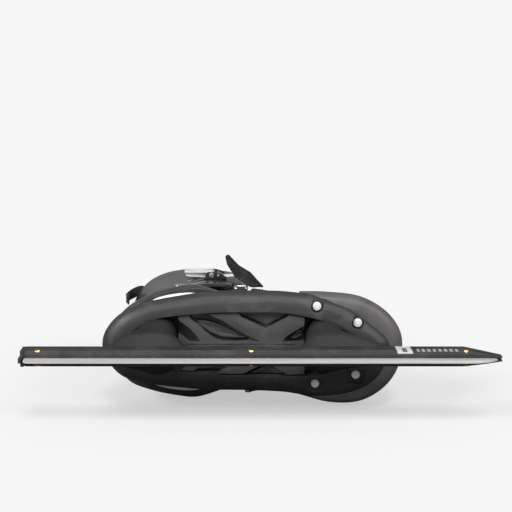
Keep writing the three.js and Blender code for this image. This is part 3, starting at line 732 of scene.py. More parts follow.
def build_dust() -> bpy.types.NodeTree:
    """Faint smears and specks that settle on used gear."""
    graph, inside, out = effect(Effect.DUST.value, {"Amount": 0.3}, ["Mask"])
    place = graph.add("ShaderNodeTexCoord").outputs["Object"]
    smear = graph.add("ShaderNodeTexNoise", {"Vector": place, "Scale": 46, "Detail": 8, "Distortion": 0.8})
    speck = graph.add("ShaderNodeTexVoronoi", {"Vector": place, "Scale": 620})
    soft = graph.math("MULTIPLY", graph.ramp(smear.outputs[0], 0.5, 0.78), 0.7)
    dots = graph.ramp(speck.outputs[0], 0.09, 0.03)
    both = graph.math("ADD", soft, graph.math("MULTIPLY", dots, 0.35))
    amount = graph.math("MULTIPLY", both, inside.outputs[0], clamp=True)
    graph.tree.links.new(amount, out.inputs[0])
    return graph.tree


def build_brush() -> bpy.types.NodeTree:
    """Fine lines drawn along X by grinding or extrusion."""
    graph, inside, out = effect(Effect.BRUSH.value, {"Stretch": 60}, ["Height", "Streak"])
    place = graph.add("ShaderNodeTexCoord").outputs["Object"]
    apart = graph.add("ShaderNodeSeparateXYZ", {0: place})
    squeezed = graph.math("DIVIDE", apart.outputs[0], inside.outputs[0])
    drawn = graph.add("ShaderNodeCombineXYZ", {
        0: squeezed, 1: apart.outputs[1], 2: apart.outputs[2]}).outputs[0]
    lines = graph.add("ShaderNodeTexNoise", {"Vector": drawn, "Scale": 2400, "Detail": 4})
    slow = graph.add("ShaderNodeTexNoise", {"Vector": drawn, "Scale": 420, "Detail": 3})
    graph.tree.links.new(lines.outputs[0], out.inputs[0])
    graph.tree.links.new(graph.ramp(slow.outputs[0], 0.3, 0.7), out.inputs[1])
    return graph.tree


# ---- Finishes ----
Colour = tuple[float, float, float]


def opaque(colour: Colour) -> tuple[float, float, float, float]:
    """Adds a full alpha to a colour."""
    return (*colour, 1.0)


def scaled(colour: Colour, factor: float) -> Colour:
    """Makes a colour lighter or darker."""
    return tuple(min(1.0, c * factor) for c in colour)


@dataclass(frozen=True)
class Finish:
    """One surface finish.

    The base carries a slow mottle, rubbed edges and dust; relief comes from the named effect.
    """

    name: str
    slot: str
    colour: Colour
    rough: float
    relief: Effect = Effect.GRAIN
    scale: float = 1800
    depth: float = 0.00002
    metallic: float = 0.0
    coat: float = 0.0
    coat_rough: float = 0.1
    sheen: float = 0.0
    transmission: float = 0.0
    ior: float = 1.48
    mottle: float = 0.12
    wear: float = 0.5
    wear_colour: Colour = (0.25, 0.25, 0.26)
    dust: float = 0.15
    dust_colour: Colour = (0.45, 0.44, 0.43)

    def material(self) -> bpy.types.Material:
        """Returns the material, made at its first use."""
        found = bpy.data.materials.get(self.name)
        if found:
            return found
        made = bpy.data.materials.new(self.name)
        made.use_nodes = True
        graph = Graph(made.node_tree)
        self.paint(graph)
        return made

    def paint(self, graph: Graph) -> bpy.types.Node:
        """Lays out the nodes of the finish and returns the shader."""
        relief = self.group(graph, self.relief, self.scale)
        wear = self.group(graph, Effect.WEAR, 0.0007, self.wear)
        dust = self.group(graph, Effect.DUST, self.dust)
        dark = graph.mix(relief.outputs[1], opaque(scaled(self.colour, 1 - self.mottle)),
                         opaque(scaled(self.colour, 1 + self.mottle)))
        base = self.pattern(graph, dark)
        rubbed = graph.mix(wear.outputs[0], base, opaque(self.wear_colour))
        dusty = graph.mix(dust.outputs[0], rubbed, opaque(self.dust_colour))
        rough = graph.math("ADD", self.rough - 0.05, graph.math("MULTIPLY", relief.outputs[1], 0.1))
        rough = graph.math("ADD", rough, graph.math("MULTIPLY", dust.outputs[0], 0.5), clamp=True)
        bump = graph.add("ShaderNodeBump", {
            "Height": relief.outputs[0], "Distance": self.depth, "Strength": 0.6})
        shader = graph.add("ShaderNodeBsdfPrincipled", {
            "Base Color": dusty, "Roughness": rough, "Normal": bump.outputs[0], "Metallic": self.metallic,
            "Coat Weight": self.coat, "Coat Roughness": self.coat_rough, "Sheen Weight": self.sheen,
            "Transmission Weight": self.transmission, "IOR": self.ior,
        })
        graph.add("ShaderNodeOutputMaterial", {"Surface": shader.outputs[0]})
        return shader

    def pattern(self, graph: Graph, base: bpy.types.NodeSocket) -> bpy.types.NodeSocket:
        """Returns the base colour as it is; a printed finish draws on it."""
        return base

    @staticmethod
    def group(graph: Graph, kind: Effect, *values: float) -> bpy.types.Node:
        """Places a shared effect with its own values."""
        node = graph.add("ShaderNodeGroup", node_tree=kind.tree())
        for socket, value in zip(node.inputs, values):
            socket.default_value = value
        return node


@dataclass(frozen=True)
class PrintedTube(Finish):
    """Anodised tube with a pale slanted patch and a row of plain dashes near the nose."""

    patch_from: float = 0.1128
    patch_to: float = 0.1254
    dash_from: float = 0.1295
    dash_to: float = 0.1635
    low: float = 0.0440
    high: float = 0.0493
    outer_from: float = 0.0639
    slope: float = -0.3

    def pattern(self, graph: Graph, base: bpy.types.NodeSocket) -> bpy.types.NodeSocket:
        """Draws the patch and the dashes on the outer side wall of the tube."""
        place = graph.add("ShaderNodeSeparateXYZ", {0: graph.add("ShaderNodeTexCoord").outputs["Object"]})
        x, y, z = place.outputs
        rise = graph.math("ADD", graph.math("MULTIPLY", z, 0.98), graph.math("MULTIPLY", y, 0.2))
        level = graph.math("SUBTRACT", rise, (self.low + self.high) / 2)
        slant = graph.math("SUBTRACT", x, graph.math("MULTIPLY", level, self.slope))
        half = (self.high - self.low) / 2
        outer = graph.math("GREATER_THAN", z, self.outer_from)
        patch = self.between(graph, slant, self.patch_from, self.patch_to)
        patch = graph.math("MULTIPLY", patch, self.between(graph, level, -half, half))
        mark = self.between(graph, slant, self.patch_from + 0.0045, self.patch_from + 0.0085)
        mark = graph.math("MULTIPLY", mark, self.between(graph, level, -half * 0.55, half * 0.55))
        beat = graph.math("FRACT", graph.math("DIVIDE", slant, 0.0046))
        dashes = self.between(graph, slant, self.dash_from, self.dash_to)
        dashes = graph.math("MULTIPLY", dashes, graph.math("LESS_THAN", beat, 0.6))
        dashes = graph.math("MULTIPLY", dashes, self.between(graph, level, -half * 0.35, half * 0.35))
        worn = graph.add("ShaderNodeTexNoise", {"Scale": 900, "Detail": 3}).outputs[0]
        ink = graph.math("MAXIMUM", patch, graph.math("MULTIPLY", dashes, 0.55))
        ink = graph.math("MULTIPLY", ink, graph.ramp(worn, 0.28, 0.4))
        ink = graph.math("MULTIPLY", ink, outer)
        printed = graph.mix(ink, base, opaque((0.5, 0.5, 0.5)))
        return graph.mix(graph.math("MULTIPLY", mark, outer), printed, opaque((0.1, 0.1, 0.11)))

    @staticmethod
    def between(graph: Graph, value: bpy.types.NodeSocket, low: float,
                high: float) -> bpy.types.NodeSocket:
        """Is 1 where a value lies between two limits."""
        above = graph.math("GREATER_THAN", value, low)
        return graph.math("MULTIPLY", above, graph.math("LESS_THAN", value, high))


GROUND_STEEL = Finish("ground_steel", "runner", (0.8, 0.78, 0.755), 0.4, Effect.BRUSH, 60, 0.000004,
                      metallic=0.5, mottle=0.1, wear=0.2, wear_colour=(0.9, 0.9, 0.9), dust=0.05)
ANODISED = PrintedTube("dark_anodised", "anodised", (0.024, 0.024, 0.0265), 0.55, Effect.BRUSH, 90, 0.000008,
                       ior=1.38, mottle=0.08, wear=0.25, wear_colour=(0.55, 0.55, 0.56), dust=0.1)
BRASS = Finish("dull_brass", "brass", (0.62, 0.44, 0.19), 0.34, scale=1200, depth=0.00001, metallic=1,
               wear_colour=(0.8, 0.65, 0.4), dust=0.1)
NYLON = Finish("moulded_nylon", "nylon", (0.031, 0.0295, 0.0312), 0.52, scale=1500, depth=0.000014,
               wear=0.55, wear_colour=(0.14, 0.14, 0.145), dust=0.12)
CUP_NYLON = Finish("cup_nylon", "nylon", (0.018, 0.018, 0.0195), 0.5, scale=1500, depth=0.000014, ior=1.3,
                   wear=0.2, wear_colour=(0.07, 0.07, 0.075), dust=0.02)
RIB_NYLON = Finish("rib_nylon", "nylon", (0.07, 0.068, 0.071), 0.3, scale=1500, depth=0.000014, coat=0.15,
                   wear=0.8, wear_colour=(0.2, 0.2, 0.205), dust=0.08)
GLOSS = Finish("glossy_shell", "gloss", (0.036, 0.035, 0.037), 0.2, scale=700, depth=0.000005, coat=0.6,
               coat_rough=0.08, wear=0.4, wear_colour=(0.13, 0.13, 0.135), dust=0.1)
COATED = Finish("coated_upper", "shell", (0.042, 0.04, 0.043), 0.45, Effect.LEATHER, 760, 0.00005, coat=0.08,
                mottle=0.2, wear=0.3, wear_colour=(0.12, 0.12, 0.12), dust=0.15)
BUMPER = Finish("matte_bumper", "bumper", (0.1, 0.094, 0.096), 0.46, scale=1100, depth=0.00003, mottle=0.16,
                wear=0.5, wear_colour=(0.13, 0.125, 0.125), dust=0.35, dust_colour=(0.24, 0.23, 0.23))
WEBBING = Finish("black_webbing", "webbing", (0.008, 0.008, 0.009), 0.8, Effect.WEAVE, 0.0011, 0.00022,
                 sheen=0.04, mottle=0.35, wear=0.2, wear_colour=(0.08, 0.08, 0.08), dust=0.12)
LINING = Finish("brushed_lining", "lining", (0.03, 0.03, 0.033), 0.9, Effect.LEATHER, 1500, 0.00012,
                sheen=0.35, mottle=0.3, wear=0.0, dust=0.18)
FELT = Finish("grey_felt", "felt", (0.09, 0.09, 0.095), 0.95, Effect.LEATHER, 1900, 0.00018, sheen=0.3,
              mottle=0.3, wear=0.0, dust=0.1)
BOARD = Finish("pressed_board", "board", (0.2, 0.145, 0.095), 0.8, scale=500, depth=0.00006, mottle=0.3,
               wear=0.2)
PALE_RIVET = Finish("pale_rivet", "bright", (0.95, 0.95, 0.93), 0.42, scale=900, depth=0.000003, metallic=0.2,
                    mottle=0.05, wear=0.1, wear_colour=(0.97, 0.97, 0.96), dust=0.03)
BRIGHT = Finish("bright_aluminium", "bright", (0.8, 0.8, 0.8), 0.3, Effect.BRUSH, 12, 0.000006, metallic=1,
                mottle=0.06, wear=0.2, wear_colour=(0.95, 0.95, 0.95), dust=0.06)
# Near-white base colour that paints the highlight along each side wall's bead; its low roughness adds a real
# gloss.
POLISHED_PAINTED_HIGHLIGHT = Finish("polished_trim_painted_highlight", "bright", (0.95, 0.94, 0.92), 0.22, scale=500, depth=0.000002,
                  metallic=0.2, mottle=0.04, wear=0.1, wear_colour=(1, 1, 1), dust=0.03)
ZINC = Finish("zinc_steel", "steel", (0.55, 0.56, 0.58), 0.36, scale=1300, depth=0.00001, metallic=1,
              mottle=0.15)
BLACK_BUCKLE = Finish("black_buckle", "buckle", (0.018, 0.018, 0.02), 0.3, scale=1400, depth=0.00001,
                      coat=0.15, wear=0.6, wear_colour=(0.14, 0.14, 0.15))
CLEAR = Finish("milky_plastic", "clear", (0.86, 0.87, 0.89), 0.3, scale=800, depth=0.00001, transmission=0.3,
               mottle=0.04, wear=0.3, wear_colour=(0.95, 0.95, 0.96), dust=0.08, ior=1.5)
THREAD = Finish("dark_thread", "webbing", (0.03, 0.03, 0.032), 0.7, Effect.LEATHER, 4000, 0.00003,
                sheen=0.2, wear=0.0)


def dress(obj: bpy.types.Object, finish: Finish, body: str, *nodes: str) -> bpy.types.Object:
    """Gives a new piece its finish, its body and the CAD nodes that it stands for.

    Args:
        obj: the piece.
        finish: its finish.
        body: the body that it rides on.
        nodes: CAD nodes that it replaces.

    Returns:
        The same piece.
    """
    obj.data.materials.clear()
    obj.data.materials.append(finish.material())
    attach(obj, body)
    if nodes:
        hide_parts(*nodes)
    LOG.info("%s: %d faces on %s", obj.name, len(obj.data.polygons), body)
    return obj


# ---- Repeated details made with Geometry Nodes ----
class Repeat(Graph):
    """A geometry node tree that turns guide points or lines into small repeated parts."""

    def __init__(self, name: str, sizes: dict[str, float]) -> None:
        """Starts the tree with one named input for each size."""
        super().__init__(bpy.data.node_groups.new(name, "GeometryNodeTree"))
        face = self.tree.interface
        face.new_socket("Geometry", in_out="INPUT", socket_type="NodeSocketGeometry")
        self.sockets = {}
        for key, value in sizes.items():
            socket = face.new_socket(key, in_out="INPUT", socket_type="NodeSocketFloat")
            socket.default_value = value
            self.sockets[key] = socket.identifier
        face.new_socket("Geometry", in_out="OUTPUT", socket_type="NodeSocketGeometry")
        self.inside = self.tree.nodes.new("NodeGroupInput")
        self.outside = self.tree.nodes.new("NodeGroupOutput")

    def size(self, key: str) -> bpy.types.NodeSocket:
        """Returns the input socket of a named size."""
        return self.inside.outputs[key]

    def scaled_vector(self, x: object, y: object, z: object) -> bpy.types.NodeSocket:
        """Joins three sizes into one vector."""
        return self.add("ShaderNodeCombineXYZ", {0: x, 1: y, 2: z}).outputs[0]

    def half(self, value: bpy.types.NodeSocket, share: float = 0.5) -> bpy.types.NodeSocket:
        """Multiplies a size by a share."""
        return self.math("MULTIPLY", value, share)

    def close(self, geometry: bpy.types.NodeSocket, finish: Finish) -> None:
        """Ends the tree in real faces with their finish."""
        real = self.add("GeometryNodeRealizeInstances", {0: geometry})
        painted = self.add("GeometryNodeSetMaterial", {
            "Geometry": real.outputs[0], "Material": finish.material()})
        self.tree.links.new(painted.outputs[0], self.outside.inputs[0])

    def run(self, name: str, guide: bpy.types.Object, finish: Finish, body: str,
            sizes: dict[str, float] | None = None) -> bpy.types.Object:
        """Runs the tree on a guide and returns a plain mesh on its body.

        Args:
            name: name of the finished piece.
            guide: mesh of the points or lines; it is used up.
            finish: the finish of the piece.
            body: the body that it rides on.
            sizes: sizes in millimetres that differ from the tree's own.

        Returns:
            The finished piece.
        """
        guide.name = name
        guide.data.name = name
        step = guide.modifiers.new("repeat", "NODES")
        step.node_group = self.tree
        for key, value in (sizes or {}).items():
            step[self.sockets[key]] = value * METRE
        settle(guide)
        guide.data.shade_smooth()
        guide.data.set_sharp_from_angle(angle=math.radians(35))
        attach(guide, body)
        LOG.info("%s: %d faces on %s", name, len(guide.data.polygons), body)
        return guide


def guide_line(points: Iterable[Point]) -> bpy.types.Object:
    """Makes a line of edges through points."""
    placed = row(points)
    mesh = bpy.data.meshes.new("guide")
    mesh.from_pydata(placed.tolist(), [(i, i + 1) for i in range(len(placed) - 1)], [])
    return link("guide", mesh)


def guide_points(points: Iterable[Point]) -> bpy.types.Object:
    """Makes loose points."""
    mesh = bpy.data.meshes.new("guide")
    mesh.from_pydata(row(points).tolist(), [], [])
    return link("guide", mesh)


def stitch_tree(finish: Finish) -> Repeat:
    """Makes the tree that lays sunken thread stitches along a line."""
    made = Repeat("stitch_run", {"Pitch": 0.0036, "Length": 0.0027, "Thread": 0.0004})
    line = made.add("GeometryNodeMeshToCurve", {0: made.inside.outputs[0]})
    even = made.add("GeometryNodeResampleCurve", {"Curve": line.outputs[0], "Length": made.size("Pitch")},
                    mode="LENGTH")
    thread = made.add("GeometryNodeMeshUVSphere", {"Segments": 6, "Rings": 5, "Radius": 1.0})
    shape = made.scaled_vector(made.half(made.size("Length")), made.size("Thread"), made.size("Thread"))
    capsule = made.add("GeometryNodeTransform", {"Geometry": thread.outputs[0], "Scale": shape})
    way = made.add("GeometryNodeInputTangent")
    turn = made.add("FunctionNodeAlignRotationToVector", {"Vector": way.outputs[0]}, axis="X")
    placed = made.add("GeometryNodeInstanceOnPoints", {
        "Points": even.outputs[0], "Instance": capsule.outputs[0], "Rotation": turn.outputs[0]})
    made.close(placed.outputs[0], finish)
    return made


def rivet_tree(finish: Finish) -> Repeat:
    """Makes the tree that sets flat chamfered rivets, heads towards the running edge, on loose points."""
    made = Repeat("flat_rivet", {"Radius": 0.0037, "Head": 0.0014, "Chamfer": 0.0004, "Dish": 0.0022})
    radius, head, chamfer = made.size("Radius"), made.size("Head"), made.size("Chamfer")
    disc = made.add("GeometryNodeMeshCylinder", {"Vertices": 48, "Radius": radius, "Depth": head})
    narrow = made.math("SUBTRACT", radius, chamfer)
    rim = made.add("GeometryNodeMeshCone", {
        "Vertices": 48, "Radius Bottom": radius, "Radius Top": narrow, "Depth": chamfer})
    lifted = made.add("GeometryNodeTransform", {
        "Geometry": rim.outputs[0], "Translation": made.scaled_vector(0.0, 0.0, made.half(head))})
    boss = made.add("GeometryNodeMeshCylinder", {
        "Vertices": 40, "Radius": made.size("Dish"), "Depth": chamfer})
    raised = made.add("GeometryNodeTransform", {
        "Geometry": boss.outputs[0], "Translation": made.scaled_vector(0.0, 0.0, made.half(head, 0.9))})
    shank = made.add("GeometryNodeMeshCylinder", {
        "Vertices": 28, "Radius": made.half(radius, 0.54), "Depth": 0.0160})
    sunk = made.add("GeometryNodeTransform", {
        "Geometry": shank.outputs[0], "Translation": (0.0, 0.0, -0.0080)})
    upset = made.add("GeometryNodeMeshCylinder", {
        "Vertices": 32, "Radius": made.half(radius, 0.9), "Depth": 0.0011})
    far = made.add("GeometryNodeTransform", {
        "Geometry": upset.outputs[0], "Translation": (0.0, 0.0, -0.0157)})
    joined = made.add("GeometryNodeJoinGeometry")
    for part in (disc, lifted, raised, sunk, far):
        made.tree.links.new(part.outputs[0], joined.inputs[0])
    placed = made.add("GeometryNodeInstanceOnPoints", {
        "Points": made.inside.outputs[0], "Instance": joined.outputs[0], "Rotation": (math.pi / 2, 0.0, 0.0)})
    made.close(placed.outputs[0], finish)
    return made


def tooth_tree(finish: Finish) -> Repeat:
    """Makes the tree that sets ratchet teeth across a strap along its line."""
    made = Repeat("ratchet_teeth", {"Pitch": 0.0026, "Length": 0.0013, "Width": 0.0064, "Height": 0.0009})
    line = made.add("GeometryNodeMeshToCurve", {0: made.inside.outputs[0]})
    even = made.add("GeometryNodeResampleCurve", {"Curve": line.outputs[0], "Length": made.size("Pitch")},
                    mode="LENGTH")
    prism = made.add("GeometryNodeMeshCylinder", {"Vertices": 6, "Radius": 0.5, "Depth": 1.0})
    laid = made.add("GeometryNodeTransform", {
        "Geometry": prism.outputs[0], "Rotation": (math.pi / 2, 0.0, 0.0)})
    shape = made.scaled_vector(made.size("Length"), made.size("Width"), made.size("Height"))
    tooth = made.add("GeometryNodeTransform", {"Geometry": laid.outputs[0], "Scale": shape})
    way = made.add("GeometryNodeInputTangent")
    turn = made.add("FunctionNodeAlignRotationToVector", {"Vector": way.outputs[0]}, axis="X", pivot_axis="Y")
    placed = made.add("GeometryNodeInstanceOnPoints", {
        "Points": even.outputs[0], "Instance": tooth.outputs[0], "Rotation": turn.outputs[0]})
    made.close(placed.outputs[0], finish)
    return made


# ---- Blade ----
@dataclass
class Blade:
    """The runner, its tube, the tail cap and the pins."""

    runner_round: float = 0.1
    tube_round: float = 0.45
    tail_round: float = 0.4
    pin_round: float = 0.2

    def build(self) -> None:
        """Makes and dresses the pieces of the blade."""
        dress(refine("runner", "runner_blade", self.runner_round, 1), GROUND_STEEL, "skate")
        dress(refine("blade_tube", "tube_holder", self.tube_round, 3), ANODISED, "skate")
        dress(refine("tail_cap", "tube_tail_cap", self.tail_round, 2), NYLON, "skate")
        for node in ("pin_rear", "pin_middle", "pin_front"):
            dress(refine(node, f"{node}_brass", self.pin_round, 2), BRASS, "skate")


# ---- Chassis and what is set in it ----
def recess_rings(extra: float, low: float, high: float = 66) -> list[Ring]:
    """Makes rings of the recess under the sole, drawn in by extra and tapered with the height."""
    return [ring(y, *RECESS_ENDS, RECESS_LATERAL, RECESS_MEDIAL, extra + (y - 50) * 0.06)
            for y in (low, high - extra)]


def chassis_rings(extra: float, levels: Sequence[Level], per: int = 5) -> list[Ring]:
    """Makes rings of the chassis skin, drawn in by extra."""
    return [ring(y, *CHASSIS_ENDS, CHASSIS_LATERAL, CHASSIS_MEDIAL, inset + extra, shift)
            for y, inset, shift in refined(levels, per)]


def boot_rings(extra: float, low: float, high: float, per: int = 4) -> list[Ring]:
    """Makes rings of the boot skin between two heights, drawn in by extra."""
    levels = [list(level) for level in BOOT_LEVELS]
    levels[0][0] = low
    levels[-1][0] = high
    return [boot_ring(level, extra) for level in refined(levels, per)]


def boot_room() -> bpy.types.Object:
    """Makes the room of the boot's outside, with a small fit, to cut from what is round it."""
    return loft("boot_room", boot_rings(-FIT, 72.6, 200))


def cuff_rings(extra: float, ends: float = 0, per: int = 4) -> list[Ring]:
    """Makes rings of the cuff skin, drawn in by extra and carried past its ends."""
    levels = [list(level) for level in CUFF_LEVELS]
    levels[0][0] -= ends
    levels[-1][0] += ends
    return [boot_ring(level, extra) for level in refined(levels, per)]


def long_hole(at: tuple[float, float], way: tuple[float, float], reach: float, radius: float) -> list[Point]:
    """Makes a round-ended slot outline that starts round a point and runs in a direction."""
    length = math.hypot(*way)
    turn = math.degrees(math.atan2(way[1], way[0]))
    far = (at[0] + way[0] / length * reach, at[1] + way[1] / length * reach)
    points = []
    for centre, start in ((far, turn - 90), (at, turn + 90)):
        for k in range(17):
            angle = math.radians(start + 180 * k / 16)
            points.append((centre[0] + radius * math.cos(angle), centre[1] + radius * math.sin(angle)))
    return points


@dataclass
class Chassis:
    """The moulded rim round the sole, its trims, rivets and lattice."""

    underside: float = 50
    floor_low: float = 66
    rivets: dict[str, tuple[float, float]] = field(default_factory=lambda: {
        "rivet_lateral_rear": (52, 34.5), "rivet_lateral_front": (87, 20),
        "rivet_medial_rear": (51, -34), "rivet_medial_front": (86, -26),
    })
    trim: tuple[float, ...] = (-69, 69.5, 22, 3.2, 4.6)
    trim_level: tuple[float, float] = (37.6, -39.4)
    trim_turn: tuple[float, float] = (0.14, -0.12)
    plate: tuple[Point, ...] = ((-66.4, -34), (41.4, -34), (41.4, 34), (-66.4, 34))
    plate_top: float = 52.5
    web: float = 0.9
    groove: tuple[Point, ...] = ((-60, 1.6), (33, 1.6), (33, 0.7), (-60, 0.7))
    strip_gap: tuple[Point, ...] = (
        (-80, 34), (-67, 34), (-66.5, 24), (-65, 22), (-55.8, 15), (-49.3, 7.2), (-47.5, 3.4), (-57, 3.4),
        (-66, 10), (-80, 20),
    )
    lens_gap: tuple[Point, ...] = (
        (-61, 34), (-43, 34), (-40, 27.5), (-28.5, 22.5), (-16.5, 14.8), (-5.6, 8.8), (4.5, 3.8), (-6.7, 4.4),
        (-16.6, 3.1), (-27.5, 3.1), (-35.1, 5.6), (-43.8, 12.8), (-49.2, 18.4), (-55.5, 23.5),
    )
    lens_island: tuple[Point, ...] = (
        (-51, 21.6), (-43.7, 21.3), (-32.9, 18.4), (-22, 13), (-13.3, 8), (-8.9, 6.2), (-18.7, 6.6),
        (-30.7, 7.6), (-40.5, 12), (-48.1, 17.6),
    )
    peak_gap: tuple[Point, ...] = ((-17, 34), (30, 34), (27, 25.6), (8.6, 14.8), (-13, 25.6))
    peak_island: tuple[Point, ...] = ((-8.5, 34), (26, 34), (23.5, 25.4), (9.4, 18.2), (-5.5, 25.4))
    toe_gap: tuple[Point, ...] = ((22.5, 3.4), (24, 7), (33, 13.4), (45, 20), (45, 3.4))
    toe_island: tuple[Point, ...] = ((29, 5.6), (36, 12.4), (39, 13), (39, 8.5), (34, 5.6))

    def build(self) -> None:
        """Makes and dresses the chassis and what is set in it."""
        self.rim()
        self.trims()
        self.lattice()
        rivets = rivet_tree(PALE_RIVET)
        points = [(x, 55.2, z) for x, z in self.rivets.values()]
        piece = rivets.run("sole_rivets", guide_points(points), PALE_RIVET, "skate")
        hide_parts(*self.rivets)

    def rim(self) -> None:
        """Makes the rim with its recess, pockets and windows."""
        body = loft("chassis_rim", chassis_rings(0, CHASSIS_LEVELS))
        inner = [(70, 3.2, -3.3), (76, 3.2, -4.6), (85, 3.8, -6.4)]
        carve(body, [
            loft("cavity", chassis_rings(0, inner, 2)),
            boot_room(),
            loft("recess", recess_rings(0, self.underside - 1)),
        ])
        for name, (x, z) in self.rivets.items():
            outer = name.startswith("rivet_lateral")
            way = (x * 0.006, 1.0 if outer else -1.0)
            pocket = slab("pocket", long_hole((x, z), way, 9 if outer else 3, 5.3), 45, 56)
            carve(body, [pocket, rod("shaft", 2.4, "y", (x, 60, z), 30),
                         rod("upset_room", 4.4, "y", (x, 73, z), 3)])
            if not outer:
                pad = [(x - 8, z - 6.5), (x + 8, z - 6.5), (x + 8, z + 5.5), (x - 8, z + 5.5)]
                carve(body, [slab("pad", pad, 45, 54)])
        for x in CUP_BOLTS.values():
            carve(body, [rod("bolt_room", BOLT_ROOM, "y", (x, 68, 0), 15)])
        for side in (1, -1):
            core = loft("core", chassis_rings(2, CHASSIS_LEVELS))
            carve(body, [carve(self.bead("bead_room", FIT, side), [core])])
        soften(body, 0.9, 3, 30, 35)
        dress(body, NYLON, "skate", "chassis")

    def bead(self, name: str, extra: float, side: int) -> bpy.types.Object:
        """Makes the outside of the bead on one side wall, whose near-white finish is a painted highlight."""
        x, y, length, height, depth = self.trim
        level, turn = (pair[0 if side > 0 else 1] for pair in (self.trim_level, self.trim_turn))
        c, n = math.cos(turn), math.sin(turn)
        rings = []
        for share in np.linspace(-0.998, 0.998, 41):
            around = math.sqrt(1 - share * share)
            points = []
            for k in range(40):
                angle = 2 * math.pi * k / 40
                along_x = (length + extra) * share
                up = (height + extra) * around * math.cos(angle)
                out = (depth + extra) * around * math.sin(angle)
                points.append((x + along_x * c - out * n, y + up, level + along_x * n + out * c))
            rings.append(np.array(points))
        return loft(name, rings)

    def trims(self) -> None:
        """Makes the bead of each side wall, coloured near white as a painted highlight along the rim."""
        for side, node in ((1, "trim_lateral"), (-1, "trim_medial")):
            bead = self.bead(f"{node}_bead", 0, side)
            carve(bead, [loft("core", chassis_rings(1.7, CHASSIS_LEVELS))])
            soften(bead, 0.0, 1, 40, 60)
            dress(bead, POLISHED_PAINTED_HIGHLIGHT, "skate", node)

    def lattice(self) -> None:
        """Makes the lattice: a plate with curved strips between deep pockets and low islands in them."""
        base = self.floor_low - FIT
        body = slab("sole_lattice", self.plate, self.plate_top, base)
        gaps, islands, dishes = [], [], []
        for side in (1, -1):
            for gap in (self.strip_gap, self.lens_gap, self.peak_gap, self.toe_gap):
                gaps.append(slab("gap", self.sided(gap, side), 40, 80))
            gaps.append(slab("groove", self.sided(self.groove, side), 40, self.plate_top + 0.8))
            for island, level in ((self.lens_island, 57.5), (self.peak_island, 57), (self.toe_island, 57)):
                islands.append(slab("island", self.sided(island, side), level, base))
                dishes.append(slab("dish", self.sided(island, side, 0.7), 40, level + 0.9))
        carve(body, gaps)
        islands.append(slab("web", self.plate, base - self.web, base))
        carve(body, islands, Cut.JOIN)
        carve(body, dishes)
        carve(body, [loft("recess", recess_rings(1.4, self.underside, 67.1))], Cut.KEEP)
        keep_largest(body)
        soften(body, 0.5, 3, 30, 40)
        dress(body, RIB_NYLON, "skate", "rib_lattice")

    @staticmethod
    def sided(points: Sequence[Point], side: int, grow: float = 1) -> list[Point]:
        """Puts an outline on one side of the middle, scaled about its own centre."""
        cx, cz = np.mean(np.array(points), axis=0)
        return [(cx + (x - cx) * grow, side * (cz + (z - cz) * grow)) for x, z in points]


@dataclass
class Cups:
    """The two towers that carry the blade, and their bolts."""

    heel: tuple[Level, ...] = (
        (27.35, -126, -54, 6.6), (31, -125, -57, 11), (35, -121, -61, 16), (41, -110, -66, 19.5),
        (48, -103, -67.5, 24), (65.6, -102, -68, 25.5),
    )
    toe: tuple[Level, ...] = (
        (27.35, 34, 116, 6.6), (31, 36, 112, 11), (35, 39, 98, 15.5), (41, 41, 82, 18.5),
        (48, 42, 76, 22.5), (65.6, 42, 75.5, 23.5),
    )

    def build(self) -> None:
        """Makes and dresses both cups and their bolts."""
        for node, levels in (("heel_cup", self.heel), ("toe_cup", self.toe)):
            self.cup(node, levels)
            end = node.split("_")[0]
            dress(refine(f"{end}_bolt", f"{end}_socket_bolt", 0.25, 2), ZINC, "skate")
            dress(refine(f"{end}_washer", f"{end}_flat_washer", 0.12, 1), ZINC, "skate")
            dress(refine(f"{end}_nut", f"{end}_hex_nut", 0.2, 1), ZINC, "skate")

    def cup(self, node: str, levels: Sequence[Level]) -> None:
        """Makes one tower with its long fairing on the tube."""
        rings = [ring(y, back, front, OVAL * half, OVAL * half, 0, 0, 48)
                 for y, back, front, half in refined(levels, 5)]
        body = loft(f"{node}_tower", rings)
        room = block("room", (-140, 0, -60), (140, 50 - FIT, 60))
        carve(room, [loft("recess", recess_rings(1.3, 48, 67))], Cut.JOIN)
        carve(body, [room], Cut.KEEP)
        carve(body, [rod("bore", BOLT_ROOM, "y", (CUP_BOLTS[node], 60, 0), 45)])
        soften(body, 0.8, 3, 32, 40)
        dress(body, CUP_NYLON, "skate", node)


